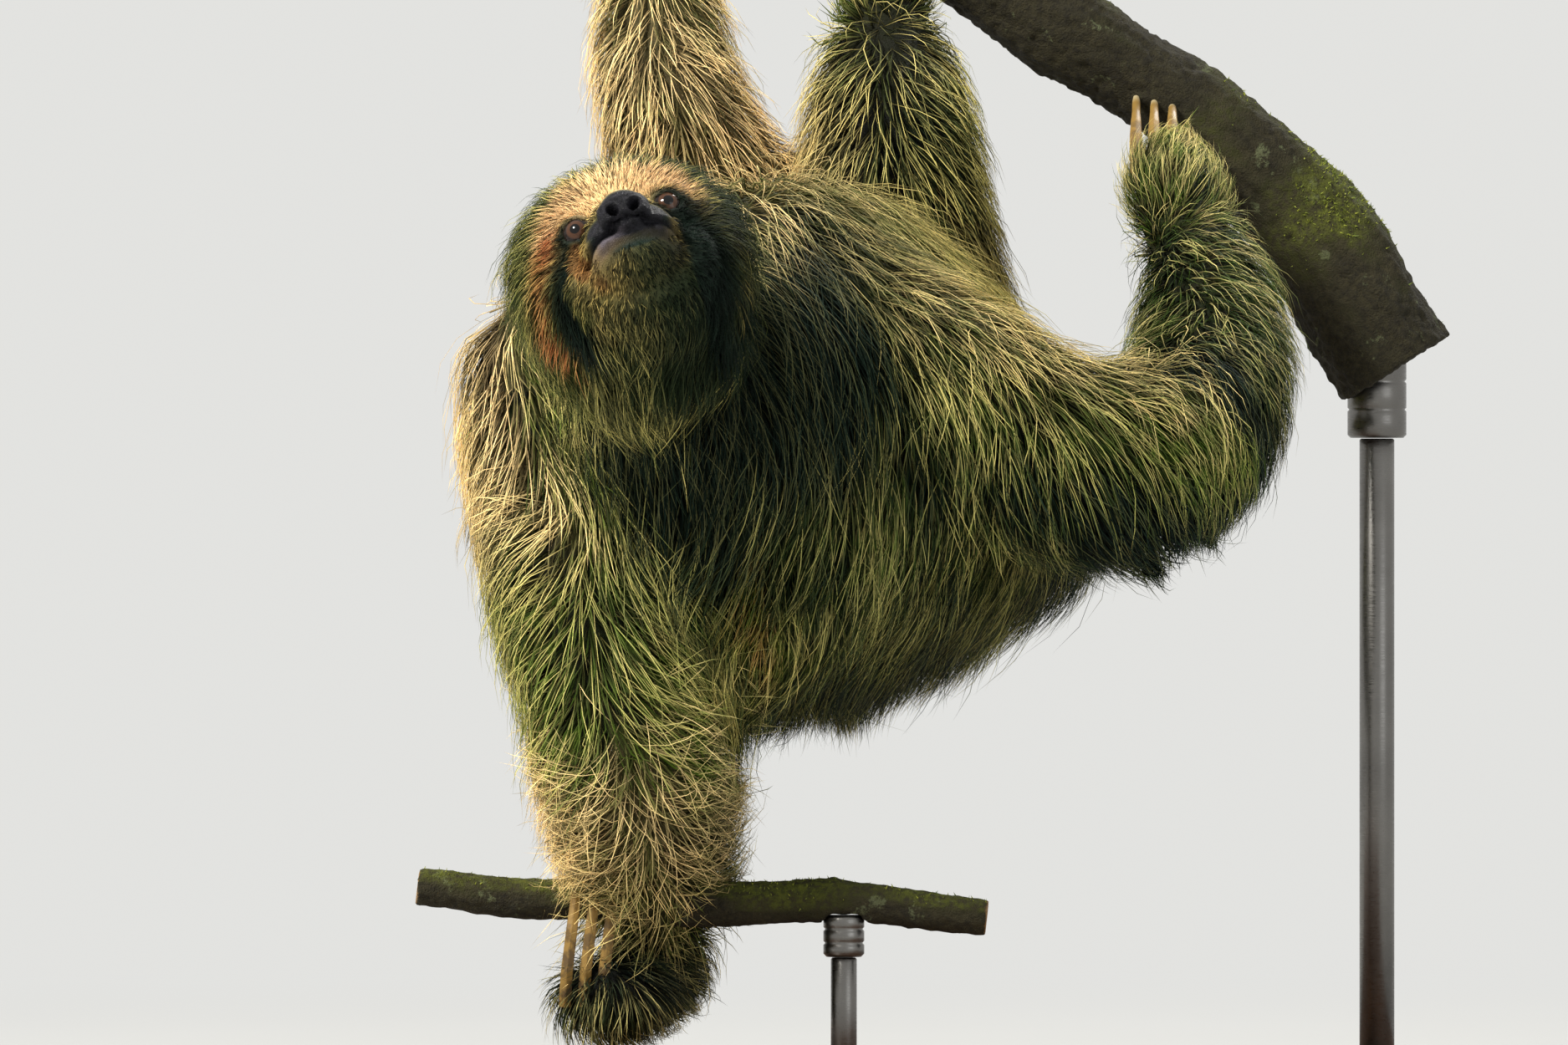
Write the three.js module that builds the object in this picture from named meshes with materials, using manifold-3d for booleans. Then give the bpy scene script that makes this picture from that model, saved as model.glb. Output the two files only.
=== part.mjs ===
// Three-toed sloth, life size, hanging by both hind feet and the right hand from a slanting
// perch and reaching down to a thin lower perch with the left hand. The belly is upward, the
// neck is turned so that the face is upright, and a flat base with two rods carries the perches.
//
// Millimetres, +Z up. The origin is the middle of the underside of the base. The head is at -Y.
// Every solid of the body has the outline of its coat. Neighbours are parted by a narrow gap.
import * as THREE from "three";
import { mergeVertices } from "three/addons/utils/BufferGeometryUtils.js";
import Module from "manifold-3d";

// ---- driving dimensions ----------------------------------------------------------------
const GAP = 0.3; // between touching solids
const COAT_GAP = 0.8; // between a limb or the neck and what it grows from
const BODY_SHIFT = new THREE.Vector3(-75, -110, 0); // from the animal's own layout to the base

const BASE = { width: 430, depth: 350, height: 18, corner: 70, bevel: 3 };
const MAIN_ROD = { x: 250, y: 245, radius: 7, top: 300, collarRadius: 12, collarHeight: 34 };
const LOW_ROD = { x: 35, y: 24, radius: 5, top: 81, collarRadius: 8, collarHeight: 16 };

const HEAD = {
  centre: new THREE.Vector3(-45.2, -118, 329.6),
  pitch: THREE.MathUtils.degToRad(32),
  yaw: THREE.MathUtils.degToRad(-6.5),
  roll: THREE.MathUtils.degToRad(20.5),
};
const EYE = { radius: 6.8, x: 16.9, y: 24.4, z: 1.8 };
const EAR = { x: 44.5, y: -12, z: 9, radii: [4, 7, 8] };

const CLAW = { width: 2.5, depth: 3.3, tip: 0.7, spacing: 7.2 };
const SIDES = { trunk: 20, head: 16, limb: 10, claw: 6, perch: 10 };

const COLOURS = {
  coat: 0x8a7448,
  coatDark: 0x4a3d25,
  face: 0xb98a5a,
  eye: 0x1d120b,
  claw: 0xa8834c,
  bark: 0x3f3423,
  stand: 0x4b3a2c,
  steel: 0x6d6f70,
};

// ---- solids ----------------------------------------------------------------------------
const wasm = await Module();
wasm.setup();

/** Gives a station of a loft: a centre and how far the section reaches from it. */
function station(x, y, z, side, up = side, down = up) {
  return { centre: new THREE.Vector3(x, y, z), reach: new THREE.Vector3(side, up, down) };
}

/**
 * Lofts a closed solid through stations along a smooth curve.
 * from and to cut out a stretch of the curve, round gives the length of each domed end, droop
 * adds to the section towards the ground, grow swells everything, and rough is a function of
 * the place along the curve and the angle that scales the section.
 */
function loft(stations, options) {
  const { up, sides, rings, from = 0, to = 1, round = [0, 0], droop = 0, grow = 0 } = options;
  const rough = options.rough ?? (() => 1);
  const capSteps = options.capSteps ?? 3;
  const spine = new THREE.CatmullRomCurve3(stations.map((s) => s.centre));
  const reach = new THREE.CatmullRomCurve3(stations.map((s) => s.reach), false, "catmullrom");
  const points = [];
  const slices = [];
  const span = to - from;

  function addRing(t, shift, scale) {
    const centre = spine.getPoint(t);
    const tangent = spine.getTangent(t);
    const side = new THREE.Vector3().crossVectors(tangent, up).normalize();
    const top = new THREE.Vector3().crossVectors(side, tangent);
    const size = reach.getPoint(t);
    centre.addScaledVector(tangent, shift);
    for (let i = 0; i < sides; i += 1) {
      const angle = (2 * Math.PI * i) / sides;
      const across = Math.cos(angle) * size.x;
      const along = Math.sin(angle) * (Math.sin(angle) > 0 ? size.y : size.z);
      const arm = new THREE.Vector3().addScaledVector(side, across).addScaledVector(top, along);
      const length = arm.length();
      arm.divideScalar(length);
      const sag = droop * Math.max(0, -arm.z) ** 2;
      const radius = (length + sag) * rough(t, angle) + grow;
      points.push(centre.clone().addScaledVector(arm, radius * scale));
    }
    slices.push(t);
  }

  for (let i = 1; i < capSteps && round[0] > 0; i += 1) {
    const bend = (Math.PI / 2) * (i / capSteps);
    addRing(from, -(round[0] + grow) * Math.cos(bend), Math.sin(bend));
  }
  for (let i = 0; i <= rings; i += 1) {
    const endShift = (i === 0 && !round[0] ? -grow : 0) + (i === rings && !round[1] ? grow : 0);
    addRing(from + (span * i) / rings, endShift, 1);
  }
  for (let i = capSteps - 1; i > 0 && round[1] > 0; i -= 1) {
    const bend = (Math.PI / 2) * (i / capSteps);
    addRing(to, (round[1] + grow) * Math.cos(bend), Math.sin(bend));
  }
  const poles = [
    spine.getPoint(from).addScaledVector(spine.getTangent(from), -(round[0] + grow)),
    spine.getPoint(to).addScaledVector(spine.getTangent(to), round[1] + grow),
  ];
  return skinOver(points, slices.length, sides, poles);
}

/** Joins rings of points and two poles into a closed geometry whose faces point out. */
function skinOver(points, rings, sides, poles) {
  const first = points.length;
  const all = [...points, ...poles];
  const faces = [];
  for (let i = 0; i < sides; i += 1) {
    const next = (i + 1) % sides;
    faces.push(first, i, next);
    for (let r = 0; r + 1 < rings; r += 1) {
      const near = r * sides;
      const far = near + sides;
      faces.push(near + i, far + i, far + next, near + i, far + next, near + next);
    }
    const last = (rings - 1) * sides;
    faces.push(first + 1, last + next, last + i);
  }
  const geometry = new THREE.BufferGeometry().setFromPoints(all);
  geometry.setIndex(faces);
  return facingOut(geometry);
}

/** Turns the faces of a closed geometry over when its volume comes out negative. */
function facingOut(geometry) {
  const corner = geometry.attributes.position;
  const index = geometry.index.array;
  const a = new THREE.Vector3();
  const b = new THREE.Vector3();
  const c = new THREE.Vector3();
  let volume = 0;
  for (let i = 0; i < index.length; i += 3) {
    a.fromBufferAttribute(corner, index[i]);
    b.fromBufferAttribute(corner, index[i + 1]);
    c.fromBufferAttribute(corner, index[i + 2]);
    volume += a.dot(b.cross(c));
  }
  if (volume < 0) {
    for (let i = 0; i < index.length; i += 3) {
      [index[i + 1], index[i + 2]] = [index[i + 2], index[i + 1]];
    }
  }
  return geometry;
}

/** Makes a solid that can be cut out of a closed geometry. */
function toSolid(geometry) {
  const bare = geometry.clone();
  bare.deleteAttribute("normal");
  bare.deleteAttribute("uv");
  const merged = mergeVertices(bare, 1e-4);
  return new wasm.Manifold(
    new wasm.Mesh({
      numProp: 3,
      vertProperties: new Float32Array(merged.attributes.position.array),
      triVerts: new Uint32Array(merged.index.array),
    }),
  );
}

/** Turns a solid back into a geometry. */
function toGeometry(solid) {
  const mesh = solid.getMesh();
  const geometry = new THREE.BufferGeometry();
  geometry.setAttribute("position", new THREE.BufferAttribute(mesh.vertProperties, 3));
  geometry.setIndex(new THREE.BufferAttribute(mesh.triVerts, 1));
  return geometry;
}

/** Cuts every other geometry out of the first one, and drops any splinter that is left over. */
function cut(geometry, ...others) {
  const start = toSolid(geometry);
  const rest = others.reduce((solid, other) => solid.subtract(toSolid(other)), start);
  const bodies = rest.decompose().sort((a, b) => b.volume() - a.volume());
  return toGeometry(bodies[0]);
}

/** Gives a part its name, shape and finish. */
function part(name, geometry, colour, roughness = 0.9, metalness = 0) {
  geometry.computeVertexNormals();
  const material = new THREE.MeshStandardMaterial({ color: colour, roughness, metalness });
  const mesh = new THREE.Mesh(geometry, material);
  mesh.name = name;
  return mesh;
}

/** Makes an ellipsoid around a centre. */
function ellipsoid(centre, radii, grow = 0, across = 12, down = 8) {
  const geometry = new THREE.SphereGeometry(1, across, down);
  geometry.scale(radii[0] + grow, radii[1] + grow, radii[2] + grow);
  geometry.translate(...centre);
  return geometry;
}

const sloth = new THREE.Group();
const perches = new THREE.Group();
const stand = new THREE.Group();

// ---- perches ---------------------------------------------------------------------------
const mainPerch = [
  station(-68, 240, 553, 15),
  station(-39, 240, 537, 17),
  station(9.5, 240, 508, 18),
  station(53, 240, 477, 18),
  station(90, 240, 452, 18),
  station(123.5, 240, 430, 19),
  station(164, 241, 405, 19),
  station(201, 243, 375, 21),
  station(232, 245, 337, 25),
  station(258, 245, 294, 26),
];
const lowPerch = [
  station(-129, 24, 92, 7),
  station(-96, 25, 88, 8),
  station(-64, 24, 87, 8),
  station(-20, 24, 85, 8.5),
  station(35, 24, 86, 8),
  station(90, 22, 80, 7.5),
];

/** Swells and pinches a perch as bark does, with knots at a few places. */
function bark(knots) {
  return (t, angle) => {
    const ripple = 0.035 * Math.sin(3 * angle + 19 * t) + 0.025 * Math.sin(31 * t + angle);
    const swell = knots.map((k) => k.height * Math.exp(-(((t - k.at) / 0.022) ** 2)));
    return 1 + ripple + swell.reduce((sum, h) => sum + h * (0.6 + 0.4 * Math.cos(angle)), 0);
  };
}
const mainBark = bark([{ at: 0.3, height: 0.14 }, { at: 0.55, height: 0.12 }, { at: 0.86, height: 0.2 }]);
const lowBark = bark([{ at: 0.12, height: 0.16 }, { at: 0.78, height: 0.22 }]);
const acrossPerch = new THREE.Vector3(0, 1, 0);

/** Shapes the thick perch. */
function mainPerchShape(grow = 0) {
  return loft(mainPerch, { up: acrossPerch, sides: SIDES.perch, rings: 18, rough: mainBark, grow });
}

/** Shapes the thin perch. */
function lowPerchShape(grow = 0) {
  return loft(lowPerch, { up: acrossPerch, sides: SIDES.perch, rings: 14, rough: lowBark, grow });
}

/** Gives the height of the thick perch's middle above a place along X. */
function mainPerchHeight(x) {
  const next = mainPerch.findIndex((s) => s.centre.x >= x);
  const a = mainPerch[next - 1].centre;
  const b = mainPerch[next].centre;
  return a.z + ((x - a.x) / (b.x - a.x)) * (b.z - a.z);
}

// ---- claws -----------------------------------------------------------------------------
/** Shapes a claw along a list of points, thick at the first and pointed at the last. */
function clawShape(points, grow = 0) {
  const last = points.length - 1;
  const stations = points.map((p, i) => {
    const taper = 1 - (i / last) ** 2;
    const thick = CLAW.tip + (CLAW.depth - CLAW.tip) * taper;
    return station(p.x, p.y, p.z, CLAW.tip + (CLAW.width - CLAW.tip) * taper, thick);
  });
  const up = new THREE.Vector3(1, 0, 0);
  return loft(stations, { up, sides: SIDES.claw, rings: 7, round: [1, 1], capSteps: 1, grow });
}

/** Gives points of an arc over a perch, from the side of the head (0) over the top. */
function overPerch(x, y, z, reachY, reachZ, fromDeg, toDeg, steps) {
  return Array.from({ length: steps }, (_, i) => {
    const a = THREE.MathUtils.degToRad(fromDeg + ((toDeg - fromDeg) * i) / (steps - 1));
    return new THREE.Vector3(x, y - reachY * Math.cos(a), z + reachZ * Math.sin(a));
  });
}

const clawOffsets = [-1, 0, 1].map((i) => i * CLAW.spacing);

const leftHandClaws = clawOffsets.map((dx) => {
  const x = -62 + dx;
  const start = [new THREE.Vector3(x - 3, 14, 46), new THREE.Vector3(x - 1.5, 9.5, 66)];
  return [...start, ...overPerch(x + 1.5, 24, 87, 12.6, 12.6, 5, 135, 4)];
});
const rightHandClaws = clawOffsets.map((dx) => {
  const x = 159.5 + dx;
  return [
    new THREE.Vector3(x, 178, 366),
    new THREE.Vector3(x - 0.5, 190, 382),
    new THREE.Vector3(x, 205, 394),
    new THREE.Vector3(x + 0.5, 223, 400 - 0.25 * dx),
  ];
});

/** Lays the three claws of a hind foot over the thick perch. */
function footClaws(x) {
  return clawOffsets.map((dx) => {
    const z = mainPerchHeight(x + dx);
    const start = new THREE.Vector3(x + dx, 214, z - 27);
    return [start, ...overPerch(x + dx, 240, z, 22.4, 26, -25, 118, 5)];
  });
}
const rightFootClaws = footClaws(53);
const leftFootClaws = footClaws(-37);

// ---- trunk and tail --------------------------------------------------------------------
const trunk = [
  station(-24, -48, 260, 46, 42, 64),
  station(-20, -25, 264, 68, 84, 94),
  station(-8, 15, 262, 82, 115, 106),
  station(10, 70, 250, 92, 125, 96),
  station(29, 130, 240, 98, 118, 86),
  station(46, 185, 236, 99, 106, 77),
  station(60, 235, 248, 84, 92, 70),
  station(70, 270, 262, 58, 62, 54),
];
const skyward = new THREE.Vector3(0, 0, 1);

/** Shapes the trunk, whose lower side is the long coat of the back. */
function trunkShape(grow = 0) {
  return loft(trunk, { up: skyward, sides: SIDES.trunk, rings: 12, round: [20, 26], grow });
}
const tail = [station(72, 278, 250, 17), station(77, 305, 240, 16), station(81, 322, 226, 12)];
const tailShape = loft(tail, { up: skyward, sides: 12, rings: 4, round: [4, 9] });

// ---- head, in its own frame: x to its right, y forward, z up ---------------------------
const headSections = [
  station(0, -38, 0, 30, 27, 28),
  station(0, -24, 0, 44, 40, 38),
  station(0, -5, 0, 49, 46, 43),
  station(0, 10, -1, 46, 42, 41),
  station(0, 19, -2, 38, 34, 36),
  station(0, 25, -4, 28, 22, 30),
  station(0, 29.5, -6, 17.5, 13, 24),
  station(0, 36, -8, 13.5, 9, 19),
  station(0, 42, -9, 12, 7.5, 14),
  station(0, 47, -9, 10, 6, 9),
];

/** Shapes the head without its sockets. */
function headShape(grow = 0) {
  return loft(headSections, { up: skyward, sides: SIDES.head, rings: 12, round: [9, 3], grow });
}

/** Places the head's frame: pitched up, turned, and rolled about its own forward axis. */
function headMatrix() {
  const forward = new THREE.Vector3(
    Math.sin(HEAD.yaw) * Math.cos(HEAD.pitch),
    -Math.cos(HEAD.yaw) * Math.cos(HEAD.pitch),
    Math.sin(HEAD.pitch),
  );
  const level = new THREE.Vector3().crossVectors(forward, skyward).normalize();
  const right = level.applyAxisAngle(forward, HEAD.roll);
  const up = new THREE.Vector3().crossVectors(right, forward);
  return new THREE.Matrix4().makeBasis(right, forward, up).setPosition(HEAD.centre);
}
const headPlace = headMatrix();
const headGroup = new THREE.Group();
headGroup.applyMatrix4(headPlace);

const eyeShapes = [];
const earShapes = [];
for (const [word, sign] of [["right", 1], ["left", -1]]) {
  const eyeAt = [sign * EYE.x, EYE.y, EYE.z];
  const earAt = [sign * EAR.x, EAR.y, EAR.z];
  const round = [EYE.radius, EYE.radius, EYE.radius];
  eyeShapes.push(ellipsoid(eyeAt, round, GAP));
  earShapes.push(ellipsoid(earAt, EAR.radii, GAP, 8, 6));
  headGroup.add(part(`eye_${word}`, ellipsoid(eyeAt, round), COLOURS.eye, 0.1));
  headGroup.add(part(`ear_${word}`, ellipsoid(earAt, EAR.radii, 0, 8, 6), COLOURS.face));
}
headGroup.add(part("head", cut(headShape(), ...eyeShapes, ...earShapes), COLOURS.face));
sloth.add(headGroup);
const headInBody = headShape(GAP).applyMatrix4(headPlace);

// ---- neck ------------------------------------------------------------------------------
const neck = [
  station(-47, -104, 322, 36, 36, 36),
  station(-40, -76, 304, 39, 40, 42),
  station(-28, -42, 290, 42, 50, 60),
  station(-20, -14, 284, 44, 54, 66),
];

/** Shapes the neck between head and chest. */
function neckShape(grow = 0) {
  return loft(neck, { up: skyward, sides: SIDES.limb + 1, rings: 4, grow });
}
const trunkRoom = trunkShape(COAT_GAP);
sloth.add(part("trunk", trunkShape(), COLOURS.coat));
sloth.add(part("neck", cut(neckShape(), trunkRoom, headInBody), COLOURS.coatDark));
sloth.add(part("tail", cut(tailShape, trunkRoom), COLOURS.coat));

// ---- limbs -----------------------------------------------------------------------------
const limbs = {
  leftArm: {
    up: new THREE.Vector3(1, 0, 0),
    stations: [
      station(-62, 8, 326, 25),
      station(-82, 0, 302, 33),
      station(-78, -14, 253, 33),
      station(-68, -29, 206, 33),
      station(-52, -30, 162, 35),
      station(-44, -3, 131, 37),
      station(-39, 38, 107, 33),
      station(-29, 67, 78, 24),
    ],
    joint: 4 / 7,
    droop: 6,
  },
  rightArm: {
    up: new THREE.Vector3(0, 0.6, -0.8),
    stations: [
      station(30, 12, 310, 36),
      station(72, 14, 286, 42),
      station(112, 24, 266, 39),
      station(148, 38, 262, 37),
      station(172, 66, 276, 36),
      station(178, 104, 304, 33),
      station(176, 138, 331, 29),
      station(169, 160, 350, 24),
    ],
    joint: 3.6 / 7,
    droop: 12,
  },
  rightLeg: {
    up: new THREE.Vector3(1, 0, 0),
    stations: [
      station(67, 232, 298, 42),
      station(62, 208, 330, 42),
      station(56, 188, 366, 40),
      station(53, 194, 400, 36),
      station(53, 212, 426, 29),
      station(53, 224, 444, 22),
    ],
    joint: 2 / 5,
    droop: 0,
  },
  leftLeg: {
    up: new THREE.Vector3(1, 0, 0),
    stations: [
      station(2, 236, 306, 40),
      station(-10, 222, 346, 39),
      station(-30, 206, 392, 35),
      station(-37, 212, 424, 30),
      station(-38, 224, 462, 24),
      station(-38, 226, 496, 21),
    ],
    joint: 2.3 / 5,
    droop: 0,
  },
};

/** Shapes the upper or lower half of a limb, parted at its middle joint. */
function limbShape(limb, half, grow = 0) {
  const ends = half === "upper" ? [0, limb.joint - 0.0008] : [limb.joint + 0.0008, 1];
  const round = half === "upper" ? [14, 0] : [0, 8];
  const { up, droop } = limb;
  const rings = half === "upper" ? 7 : 6;
  const shape = { up, sides: SIDES.limb, rings, from: ends[0], to: ends[1], round, droop, grow };
  return loft(limb.stations, shape);
}

const endPieces = {
  leftHand: [station(-32, 58, 62, 22, 22), station(-46, 36, 50, 24, 21), station(-61, 12, 50, 26, 20)],
  rightHand: [station(168, 158, 352, 24), station(165, 172, 366, 22), station(161, 182, 376, 18)],
  rightFoot: [station(53, 220, 440, 23), station(53, 214, 452, 20), station(53, 211, 461, 15)],
  leftFoot: [station(-38, 226, 494, 21), station(-38, 218, 508, 19), station(-38, 213, 519, 15)],
};

/** Shapes a hand or foot as a domed pad that holds the claw roots. */
function endShape(name, grow = 0) {
  const up = name === "leftHand" ? skyward : new THREE.Vector3(1, 0, 0);
  return loft(endPieces[name], { up, sides: SIDES.limb, rings: 4, round: [14, 10], capSteps: 2, grow });
}

/** Shapes the three claws of a hand or foot, swollen so that they can be cut out of it. */
function clawRoots(claws) {
  return claws.map((points) => clawShape(points, GAP));
}

const chestRoom = trunkShape().translate(0, -GAP, 0);
const core = [trunkRoom, chestRoom, neckShape(COAT_GAP), headInBody];
const mainPerchRoom = mainPerchShape(GAP);
const lowPerchRoom = lowPerchShape(GAP);

/** Adds a whole limb: two halves, its hand or foot, and the three claws. */
function addLimb(limb, names, endName, claws, obstacles, perchRoom) {
  const end = endShape(endName, GAP);
  const upper = cut(limbShape(limb, "upper"), ...obstacles);
  const roots = clawRoots(claws);
  const upperRoom = limbShape(limb, "upper", 0);
  const lower = cut(limbShape(limb, "lower"), ...obstacles, upperRoom, end, perchRoom, ...roots);
  sloth.add(part(names.upper, upper, COLOURS.coat));
  sloth.add(part(names.lower, lower, COLOURS.coat));
  sloth.add(part(names.end, cut(endShape(endName), perchRoom, ...roots), COLOURS.coat));
  claws.forEach((points, i) => {
    sloth.add(part(`claw_${names.end}_${i + 1}`, clawShape(points), COLOURS.claw, 0.45));
  });
}

/** Names the pieces of an arm or a leg. */
function limbNames(kind, side) {
  const words = kind === "arm" ? ["upper_arm", "forearm", "hand"] : ["thigh", "shank", "foot"];
  const [upper, lower, end] = words.map((word) => `${word}_${side}`);
  return { upper, lower, end };
}

addLimb(limbs.leftArm, limbNames("arm", "left"), "leftHand", leftHandClaws, core, lowPerchRoom);
addLimb(limbs.rightArm, limbNames("arm", "right"), "rightHand", rightHandClaws, core, mainPerchRoom);
addLimb(limbs.rightLeg, limbNames("leg", "right"), "rightFoot", rightFootClaws, core, mainPerchRoom);
const rightLegRoom = ["upper", "lower"].map((half) => limbShape(limbs.rightLeg, half, COAT_GAP));
const leftLegObstacles = [...core, ...rightLegRoom];
addLimb(limbs.leftLeg, limbNames("leg", "left"), "leftFoot", leftFootClaws, leftLegObstacles, mainPerchRoom);

// ---- stand -----------------------------------------------------------------------------
/** Makes an upright cylinder between two heights. */
function upright(place, radius, bottom, top, sides, grow = 0) {
  const geometry = new THREE.CylinderGeometry(radius + grow, radius + grow, top - bottom + 2 * grow, sides);
  geometry.rotateX(Math.PI / 2);
  geometry.translate(place.x, place.y, (top + bottom) / 2);
  return geometry;
}

/** Makes the rounded board, centred on the origin. */
function baseShape() {
  const { width, depth, height, corner, bevel } = BASE;
  const w = width / 2 - bevel;
  const d = depth / 2 - bevel;
  const outline = new THREE.Shape();
  outline.moveTo(-w + corner, -d);
  outline.lineTo(w - corner, -d);
  outline.absarc(w - corner, -d + corner, corner, -Math.PI / 2, 0);
  outline.absarc(w - corner, d - corner, corner, 0, Math.PI / 2);
  outline.absarc(-w + corner, d - corner, corner, Math.PI / 2, Math.PI);
  outline.absarc(-w + corner, -d + corner, corner, Math.PI, 1.5 * Math.PI);
  const board = new THREE.ExtrudeGeometry(outline, {
    depth: height - 2 * bevel,
    bevelThickness: bevel,
    bevelSize: bevel,
    bevelSegments: 1,
    curveSegments: 4,
  });
  board.translate(0, 0, bevel);
  return board;
}

/** Adds a rod and the collar that takes a perch. */
function addRod(name, rod) {
  const collarBottom = rod.top - rod.collarHeight;
  const rodShape = upright(rod, rod.radius, BASE.height + GAP, collarBottom - GAP, 16);
  const collarShape = upright(rod, rod.collarRadius, collarBottom, rod.top, 18);
  stand.add(part(`stand_rod_${name}`, rodShape, COLOURS.steel, 0.35, 0.9));
  stand.add(part(`stand_collar_${name}`, collarShape, COLOURS.steel, 0.35, 0.9));
  return upright(rod, rod.collarRadius, collarBottom, rod.top, 18, GAP);
}
const mainCollarRoom = addRod("main", MAIN_ROD);
const lowCollarRoom = addRod("low", LOW_ROD);

const mainClaws = [...rightFootClaws, ...leftFootClaws, ...rightHandClaws];
const mainPerchCut = cut(mainPerchShape(), mainCollarRoom, ...clawRoots(mainClaws));
const lowPerchCut = cut(lowPerchShape(), lowCollarRoom, ...clawRoots(leftHandClaws));
perches.add(part("perch_main", mainPerchCut, COLOURS.bark));
perches.add(part("perch_low", lowPerchCut, COLOURS.bark));

// ---- the whole model -------------------------------------------------------------------
const hung = new THREE.Group();
hung.add(sloth, perches, stand);
hung.position.copy(BODY_SHIFT);
const model = new THREE.Group();
model.add(hung, part("stand_base", baseShape(), COLOURS.stand, 0.5));

export default model;
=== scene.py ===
"""Finish of a life-size three-toed sloth that hangs from two perches on a display stand."""
import functools
import logging
import math
from dataclasses import dataclass, field, fields
from enum import Enum

import bpy
import numpy as np
from bpy.types import Material, Mesh, Node, NodeSocket, NodeTree, Object, World
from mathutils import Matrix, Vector, noise
from mathutils.bvhtree import BVHTree
from mathutils.kdtree import KDTree


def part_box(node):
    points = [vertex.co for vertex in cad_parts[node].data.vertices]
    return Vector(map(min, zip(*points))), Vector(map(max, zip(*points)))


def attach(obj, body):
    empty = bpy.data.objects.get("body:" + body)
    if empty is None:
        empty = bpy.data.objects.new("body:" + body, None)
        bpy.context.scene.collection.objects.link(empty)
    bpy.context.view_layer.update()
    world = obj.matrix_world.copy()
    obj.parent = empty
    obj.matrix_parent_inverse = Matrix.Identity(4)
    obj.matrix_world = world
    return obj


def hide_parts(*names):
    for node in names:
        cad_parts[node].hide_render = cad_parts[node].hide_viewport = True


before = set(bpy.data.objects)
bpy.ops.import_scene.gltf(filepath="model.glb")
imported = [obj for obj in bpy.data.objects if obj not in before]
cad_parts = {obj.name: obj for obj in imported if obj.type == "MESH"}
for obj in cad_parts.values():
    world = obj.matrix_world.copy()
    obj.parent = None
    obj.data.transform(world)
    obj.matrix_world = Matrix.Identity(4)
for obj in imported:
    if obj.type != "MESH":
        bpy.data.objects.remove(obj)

LOG = logging.getLogger("sloth")
MM = 0.001
SEED = 20417
DOWN = np.array([0.0, 0.0, -1.0])
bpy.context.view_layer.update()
BAKE_MAP = "OFBake"
TUFT_PATCH = 0.003  # of the width of the unwrap
PIECE_LIMIT = 196_000  # faces
MEAN_TUFT_FACES = 17  # of tufts of 22 and of 10 triangles, rounded up
TINY = 1e-12
WELD = 0.02 * MM

# where the crest of hair on the hanging arm runs, seen from the front: across and height, in metres
CREST = np.array([
    (-0.137, 0.227), (-0.149, 0.243), (-0.159, 0.264), (-0.166, 0.282), (-0.169, 0.3), (-0.171, 0.337)
])

Array = np.ndarray
Chance = np.random.Generator
Colour = tuple[float, float, float, float]
Triple = tuple[float, float, float]
Input = NodeSocket | Material | tuple | str | float


# ---- small helpers on arrays and meshes ----
def unit(vectors: Array) -> Array:
    """Scales each row to length one; a zero row stays near zero."""
    return vectors / (np.linalg.norm(vectors, axis=-1, keepdims=True) + TINY)


def ramp(low: float, high: float, value: Array) -> Array:
    """Eases from 0 at low to 1 at high; with high under low it eases the other way."""
    t = np.clip((value - low) / (high - low), 0.0, 1.0)
    return t * t * (3.0 - 2.0 * t)


def hump(distance: Array, width: float) -> Array:
    """Gives a bell curve: 1 in the middle and about a third at the width."""
    return np.exp(-((distance / width) ** 2))


def most(*layers: Array) -> Array:
    """Gives the highest of several layers at each place."""
    return functools.reduce(np.maximum, layers)


def ripples(points: Array, size: float, seed: int) -> Array:
    """Gives soft seeded noise from a few crossed waves.

    Args:
        points: The places.
        size: The rough width of one patch, in metres.
        seed: Which of the patterns to use.

    Returns:
        Numbers of about -1 to 1.
    """
    rng = np.random.default_rng(seed)
    total = np.zeros(len(points))
    for octave in range(7):
        wave = rng.normal(size=3)
        wave *= (1.0 + 0.45 * octave) * 2.0 / (size * np.linalg.norm(wave))
        total += np.sin(points @ wave + rng.uniform(0.0, 2.0 * math.pi)) / (1.0 + 0.3 * octave)
    return total / 2.6


def coordinates(mesh: Mesh) -> Array:
    """Reads the places of a mesh's vertices."""
    values = np.empty(len(mesh.vertices) * 3, np.float32)
    mesh.vertices.foreach_get("co", values)
    return values.reshape(-1, 3).astype(float)


def triangles(mesh: Mesh) -> tuple[Array, Array]:
    """Reads a mesh's triangles.

    Args:
        mesh: Any mesh.

    Returns:
        The vertex numbers and the loop numbers of each triangle.
    """
    mesh.calc_loop_triangles()
    count = len(mesh.loop_triangles)
    corners = np.empty(count * 3, np.int32)
    loops = np.empty(count * 3, np.int32)
    mesh.loop_triangles.foreach_get("vertices", corners)
    mesh.loop_triangles.foreach_get("loops", loops)
    return corners.reshape(-1, 3), loops.reshape(-1, 3)


def new_mesh(name: str, points: Array, faces: Array) -> Mesh:
    """Makes a smooth mesh from arrays.

    Args:
        name: The mesh's name.
        points: Places of the vertices.
        faces: Vertex numbers, three or four to a face.

    Returns:
        The new mesh.
    """
    count, sides = faces.shape
    mesh = bpy.data.meshes.new(name)
    mesh.vertices.add(len(points))
    mesh.vertices.foreach_set("co", np.ascontiguousarray(points, np.float32).ravel())
    mesh.loops.add(count * sides)
    mesh.loops.foreach_set("vertex_index", np.ascontiguousarray(faces, np.int32).ravel())
    mesh.polygons.add(count)
    mesh.polygons.foreach_set("loop_start", np.arange(0, count * sides, sides, dtype=np.int32))
    mesh.polygons.foreach_set("use_smooth", np.ones(count, bool))
    mesh.update(calc_edges=True)
    mesh.validate()
    return mesh


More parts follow.
